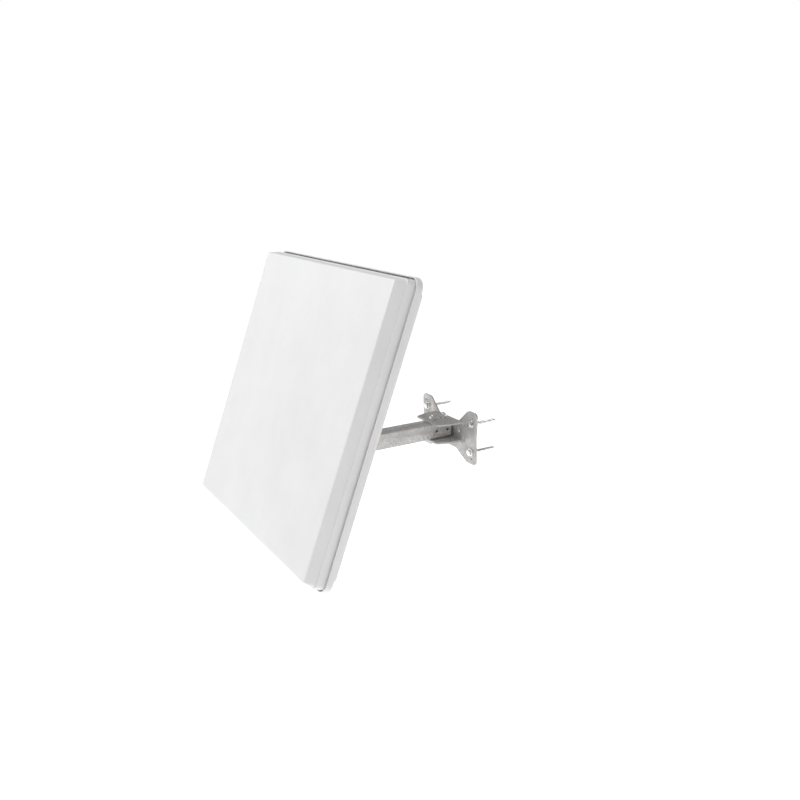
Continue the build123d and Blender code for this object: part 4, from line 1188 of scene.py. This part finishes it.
# ------------------------------------------------------------------ receiver's outer parts
@dataclass(frozen=True)
class Receiver:
    """Sockets, their nuts and washers, the rubber cap and the breather on the antenna's back."""

    thread: float = 4.76 * MM
    pitch: float = 0.8 * MM
    root: float = 5.4 * MM
    bore: float = 2.6 * MM
    hexagon: float = 14.0 * MM
    hexagon_height: float = 3.0 * MM
    thread_out: float = 12.0 * MM
    seat: float = 3.6 * MM
    cap_ribs: int = 14

    def sockets(self) -> None:
        """Make the threaded barrels with their insulated centres."""
        group_of = FastenerSet("cable_sockets", Body.ANTENNA, 2, Side.LOW, ANTENNA)
        reach = group_of.reach()
        outer = Thread(self.thread, self.pitch, 0.45).profile(0.5 * MM, self.thread_out - self.seat)
        step = self.thread_out - self.seat
        pin = self.bore * 0.35
        points = [(0.0, 9.0 * MM), (pin, 9.0 * MM), (pin, 8.0 * MM), (self.bore, 8.0 * MM)]
        points += [(self.bore, 0.4 * MM), (self.bore + 0.4 * MM, 0.0), (self.thread - 0.6 * MM, 0.0)]
        points += outer + [(self.root, step), (self.root, reach - 1 * MM), (0.0, reach - 1 * MM)]
        barrel = Lathe(tuple(points), 32).build("socket_barrel")
        flats = Hexagon(self.hexagon, self.hexagon_height, both_ends=True).build("socket_hexagon")
        settle(flats, Matrix.Translation((0.0, 0.0, reach - self.hexagon_height)))
        group_of.put(joined([barrel, flats], "socket"))

    def cap(self) -> None:
        """Make the ribbed rubber cap."""
        group_of = FastenerSet("socket_cap", Body.ANTENNA, 2, Side.LOW, ANTENNA)
        outer = box_in("socket_cap", ANTENNA).size.x / 2
        reach = group_of.reach()
        inner = self.thread + 0.1 * MM
        points = (
            (0.0, 0.0), (outer - 1.6 * MM, 0.0), (outer - 0.5 * MM, 0.5 * MM), (outer - 0.3 * MM, 1.4 * MM),
            (outer - 0.3 * MM, reach - 2.2 * MM), (outer, reach - 1.9 * MM), (outer, reach - 0.4 * MM),
            (outer - 0.4 * MM, reach), (inner, reach), (inner, 1.6 * MM), (0.0, 1.6 * MM),
        )
        cap = Lathe(points, 42).build("cap_skin")
        grips = []
        for index in range(self.cap_ribs):
            angle = math.tau * index / self.cap_ribs
            ridge = Ring(0.45 * MM, 0.6 * MM, 0.2 * MM, 1.4 * MM)
            top = Ring(0.45 * MM, 0.6 * MM, 0.2 * MM, reach - 2.4 * MM)
            grip = Loft((ridge, top), corner_steps=2).build("grip")
            radius = outer - 0.45 * MM
            place = Matrix.Rotation(angle, 4, "Z") @ Matrix.Translation((radius, 0.0, 0.0))
            grips.append(settle(grip, place))
        group_of.put(joined([cap, *grips], "cap"))

    def vent(self) -> None:
        """Make the breather with its ring of slots."""
        group_of = FastenerSet("vent_plug", Body.ANTENNA, 2, Side.LOW, ANTENNA)
        outer = box_in("vent_plug", ANTENNA).size.x / 2
        reach = group_of.reach()
        points = (
            (0.0, 0.5 * MM), (outer * 0.5, 0.5 * MM), (outer * 0.55, 0.0), (outer - 1.2 * MM, 0.0),
            (outer, 1.0 * MM), (outer, 3.0 * MM), (4.0 * MM, 3.0 * MM), (4.0 * MM, reach), (0.0, reach),
        )
        plug = Lathe(points, 40).build("breather")
        for index in range(8):
            bpy.ops.mesh.primitive_cube_add(size=1.0, location=(outer, 0.0, 2.4 * MM))
            slot = bpy.context.active_object
            slot.scale = (4.0 * MM, 1.2 * MM, 1.0 * MM)
            cut(plug, settle(slot, Matrix.Rotation(math.tau * index / 8, 4, "Z")))
        group_of.put(plug, degrees=30.0)

    def build(self) -> None:
        """Build every outer part of the receiver."""
        self.sockets()
        nuts("socket_nuts", Body.ANTENNA, 2, self.root, ANTENNA)
        washers("socket_washers", Body.ANTENNA, 2, self.root + 0.25 * MM, ANTENNA)
        self.cap()
        self.vent()


# ------------------------------------------------------------------ steelwork taken from the CAD shapes
@dataclass(frozen=True)
class Steelwork:
    """A CAD node's own shape with its seams closed and its edges eased."""

    node: str
    body: Body
    edge: float = 0.5 * MM
    segments: int = 3
    angle: float = 40.0

    def copy(self) -> bpy.types.Object:
        """Copy the node, merge its loose triangles and clear needless edges."""
        source = frame["nodes"][self.node]
        select_only(source)
        bpy.ops.object.duplicate()
        piece = bpy.context.active_object
        piece.name = self.node + "_detailed"
        bpy.ops.object.parent_clear(type="CLEAR_KEEP_TRANSFORM")
        settle(piece)
        with editing(piece):
            bpy.ops.mesh.remove_doubles(threshold=1e-6)
            bpy.ops.mesh.dissolve_limited(angle_limit=math.radians(0.5))
        return piece

    def ease(self, piece: bpy.types.Object) -> None:
        """Round every sharp edge a little."""
        bevel = piece.modifiers.new("edge", "BEVEL")
        bevel.width = self.edge
        bevel.segments = self.segments
        bevel.limit_method = "ANGLE"
        bevel.angle_limit = math.radians(self.angle)
        bevel.use_clamp_overlap = True
        apply_modifiers(piece)

    def build(self) -> bpy.types.Object:
        """Make the eased copy stand for the node."""
        piece = self.copy()
        self.ease(piece)
        with editing(piece):
            bpy.ops.mesh.dissolve_degenerate(threshold=1e-6)
        smooth(piece, self.angle - 5.0)
        return fit_out(piece, self.node, self.body)


STEELWORK = (
    Steelwork("wall_bracket", Body.WALL_ARM, 0.7 * MM),
    Steelwork("arm_tube", Body.WALL_ARM, 0.3 * MM, angle=50.0),
    Steelwork("arm_weld", Body.WALL_ARM, 0.6 * MM),
    Steelwork("mast_tube", Body.WALL_ARM, 0.4 * MM, angle=50.0),
    Steelwork("swivel_bracket", Body.SWIVEL, 0.4 * MM),
    Steelwork("clamp_saddles", Body.SWIVEL, 0.7 * MM),
    Steelwork("tilt_bracket", Body.ANTENNA, 0.45 * MM),
    Steelwork("rim_seal", Body.ANTENNA, 0.4 * MM),
)


# ------------------------------------------------------------------ mast caps and U-bolts
@dataclass(frozen=True)
class MastCap:
    """Plastic cap of one end of the mast: a domed lid with a grooved rim and a ribbed plug."""

    node: str
    side: Side
    lid: float = 3.0 * MM
    wall: float = 2.0 * MM

    def build(self) -> None:
        """Turn the cap."""
        group_of = FastenerSet(self.node, Body.WALL_ARM, 2, self.side)
        radius = group_of.span() / 2
        bore = radius - self.wall - 0.1 * MM
        reach = group_of.reach()
        root = bore - 0.3 * MM
        ridges = []
        for ridge in range(3):
            level = self.lid + 2.0 * MM + ridge * 3.0 * MM
            low, high = level + 0.6 * MM, level + 1.2 * MM
            ridges += [(root, level), (bore, low), (root, high)]
        points = (
            (0.0, 0.3 * MM), (radius * 0.35, 0.15 * MM), (radius * 0.75, 0.0), (radius - 1.4 * MM, 0.15 * MM),
            (radius - 0.5 * MM, 0.6 * MM), (radius, 1.4 * MM), (radius, self.lid - 0.3 * MM),
            (radius - 0.3 * MM, self.lid), (root, self.lid), *ridges,
            (root, reach), (bore - 2.0 * MM, reach), (bore - 2.0 * MM, self.lid), (0.0, self.lid),
        )
        group_of.put(Lathe(points, 56).build(self.node), degrees=32.0)


@dataclass(frozen=True)
class UBolts:
    """The two bent threaded rods round the mast."""

    radius: float = 3.0 * MM
    pitch: float = 1.0 * MM
    thread_length: float = 22.0 * MM
    arc_steps: int = 24

    def rod(self, leg_x: float, leg_length: float) -> bpy.types.Object:
        """Bend one rod: two threaded legs along -Y, and a half ring about the mast's axis.

        Args:
            leg_x: Distance of each leg from the mast's axis.
            leg_length: Length of each leg from the mast's axis to its end.
        """
        points = [(0.0, 0.0), (self.radius * 0.8, 0.0)]
        points += Thread(self.radius, self.pitch).profile(0.5 * MM, self.thread_length)
        points += [(self.radius, self.thread_length + 0.4 * MM), (self.radius, leg_length)]
        leg = Lathe(tuple(points), 24).build("u_bolt_leg")
        stand = Matrix.Translation((leg_x, -leg_length, 0.0)) @ Matrix.Rotation(-math.pi / 2, 4, "X")
        settle(leg, stand)
        with editing(leg, "EDGE", "DESELECT"):
            pick_edges(leg, lambda edge: all(abs(vertex.co.y) < 1e-5 for vertex in edge.verts))
            axis = {"center": (0.0, 0.0, 0.0), "axis": (0.0, 0.0, 1.0)}
            bpy.ops.mesh.spin(steps=self.arc_steps, angle=-math.pi, **axis)
        other = Lathe(tuple(points), 24).build("u_bolt_leg")
        mirror = Matrix.Rotation(math.pi, 4, "Y") @ stand
        whole = joined([leg, settle(other, mirror)], "u_bolt")
        tidy_mesh(whole, 2e-5)
        return whole

    def build(self) -> None:
        """Make both rods and their washers and nuts."""
        mast = box_in("mast_tube")
        boxes = solids_in("u_bolts")
        leg_x = boxes[0].high.x - self.radius
        leg_length = mast.centre.y - boxes[0].low.y
        places = [Matrix.Translation((0.0, mast.centre.y, box.centre.z)) for box in boxes]
        whole = copied(self.rod(leg_x, leg_length), places, "u_bolts_detailed")
        smooth(whole, 38.0)
        fit_out(whole, "u_bolts", Body.SWIVEL)
        washers("u_bolt_washers", Body.SWIVEL, 1, self.radius + 0.25 * MM)
        nuts("u_bolt_nuts", Body.SWIVEL, 1, self.radius)


class Hardware:
    """Every hexagon bolt, nut and washer of the brackets."""

    def build(self) -> None:
        """Replace the plain CAD fasteners by detailed ones."""
        bolts("arm_bolts", Body.WALL_ARM, 2, Side.LOW, M8)
        nuts("arm_bolt_nuts", Body.WALL_ARM, 2, M8.radius)
        washers("arm_bolt_washers", Body.WALL_ARM, 2, M8.radius + 0.25 * MM)
        bolts("pivot_bolt", Body.SWIVEL, 0, Side.HIGH, M8)
        nuts("pivot_nut", Body.SWIVEL, 0, M8.radius)
        washers("pivot_washers", Body.SWIVEL, 0, M8.radius + 0.25 * MM)
        bolts("tilt_bracket_bolts", Body.ANTENNA, 2, Side.LOW, M6, ANTENNA)
        washers("tilt_bracket_washers", Body.ANTENNA, 2, M6.radius + 0.25 * MM, ANTENNA)
        self.lock_bolts()
        nuts("lock_nuts", Body.ANTENNA, 0, M6.radius, ANTENNA)
        washers("lock_washers", Body.ANTENNA, 0, M6.radius + 0.25 * MM, ANTENNA)

    def lock_bolts(self) -> None:
        """Make the two lock bolts, whose heads face each other inside the cheeks."""
        group_of = FastenerSet("lock_bolts", Body.ANTENNA, 0, Side.LOW, ANTENNA)
        shank = group_of.reach() - M6.head
        thread = Thread(M6.radius, M6.pitch)
        model = HexBolt(thread, Hexagon(M6.flats, M6.head), shank, 1.5 * MM).build("lock_bolt")
        places = []
        for box in solids_in("lock_bolts", ANTENNA):
            outward = 1.0 if box.centre.x > 0 else -1.0
            head_end = box.low.x if outward > 0 else box.high.x
            start = Vector((head_end + outward * M6.head, box.centre.y, box.centre.z))
            places.append(ANTENNA @ along(start, Vector((outward, 0.0, 0.0))))
        whole = copied(model, places, "lock_bolts_detailed")
        smooth(whole, 38.0)
        fit_out(whole, "lock_bolts", Body.ANTENNA)


# ------------------------------------------------------------------ CAD nodes that stay
def dress_inner_nodes() -> None:
    """Give every CAD node its finish, those inside the casing among them."""
    for name, node in frame["nodes"].items():
        dress(node, SLOT_FINISHES[slot_of(name)])


# ------------------------------------------------------------------ studio
@dataclass(frozen=True)
class Studio:
    """Pale floor, soft lights and the camera."""

    azimuth: float = 58.26
    elevation: float = 16.0
    camera_place: tuple[float, float, float] = (1.3856, -0.9851, 0.5499)
    lens: float = 36.65
    floor_drop: float = 0.25
    backdrop: float = 1.0
    surround: float = 0.29

    def floor(self) -> None:
        """Lay a wide pale floor under the object."""
        low = CAD_BOUNDS[0].z - self.floor_drop
        bpy.ops.mesh.primitive_plane_add(size=300.0, location=(0.0, 0.0, low))
        floor = bpy.context.active_object
        floor.name = "studio_floor"
        settle(floor)
        dress(floor, Finishes.paper)

    def light(self, name: str, place: tuple[float, float, float], size: float, power: float) -> None:
        """Hang one square soft light that looks at the antenna."""
        data = bpy.data.lights.new(name, "AREA")
        data.size = size
        data.energy = power
        lamp = bpy.data.objects.new(name, data)
        lamp.location = place
        target = Vector((0.0, -0.3, 0.1))
        lamp.rotation_mode = "QUATERNION"
        lamp.rotation_quaternion = (target - Vector(place)).to_track_quat("-Z", "Y")
        bpy.context.scene.collection.objects.link(lamp)

    def camera(self) -> None:
        """Set up the camera."""
        data = bpy.data.cameras.new("camera")
        data.lens = self.lens
        data.sensor_width = 36.0
        data.clip_start = 0.05
        data.clip_end = 400.0
        camera = bpy.data.objects.new("camera", data)
        camera.location = self.camera_place
        azimuth, elevation = math.radians(self.azimuth), math.radians(self.elevation)
        level = math.cos(elevation)
        ahead = Vector((-math.sin(azimuth) * level, math.cos(azimuth) * level, -math.sin(elevation)))
        camera.rotation_mode = "QUATERNION"
        camera.rotation_quaternion = ahead.to_track_quat("-Z", "Y")
        bpy.context.scene.collection.objects.link(camera)
        bpy.context.scene.camera = camera

    def world(self) -> None:
        """Fill the room with soft white light, in front of a brighter backdrop."""
        world = bpy.data.worlds.new("studio")
        world.use_nodes = True
        wiring = Wiring(world.node_tree)
        background = world.node_tree.nodes["Background"]
        seen = wiring.add("LightPath").outputs["Is Camera Ray"]
        wiring.feed(background, "Color", (1.0, 1.0, 1.0, 1.0))
        wiring.feed(background, "Strength", wiring.ranged(seen, 0.0, 1.0, self.surround, self.backdrop))
        bpy.context.scene.world = world
        bpy.context.scene.view_settings.view_transform = "Standard"

    def build(self) -> None:
        """Set up the whole studio."""
        self.floor()
        self.world()
        self.light("key", (-0.9, -1.9, 2.0), 1.4, 29.0)
        self.light("top", (0.3, -0.6, 2.4), 1.4, 14.0)
        self.light("rim", (2.2, 1.6, 0.9), 1.4, 3.0)
        self.camera()


def main() -> None:
    """Build everything in order."""
    logging.basicConfig(level=logging.INFO, format="%(message)s")
    Studio().build()
    dress_inner_nodes()
    FrontCover().build()
    BackTray().build()
    CoverScrews().build()
    Receiver().build()
    WallScrews().build()
    Hardware().build()
    UBolts().build()
    MastCap("mast_top_cap", Side.HIGH).build()
    MastCap("mast_bottom_cap", Side.LOW).build()
    for piece in STEELWORK:
        piece.build()


if __name__ == "__main__":
    main()
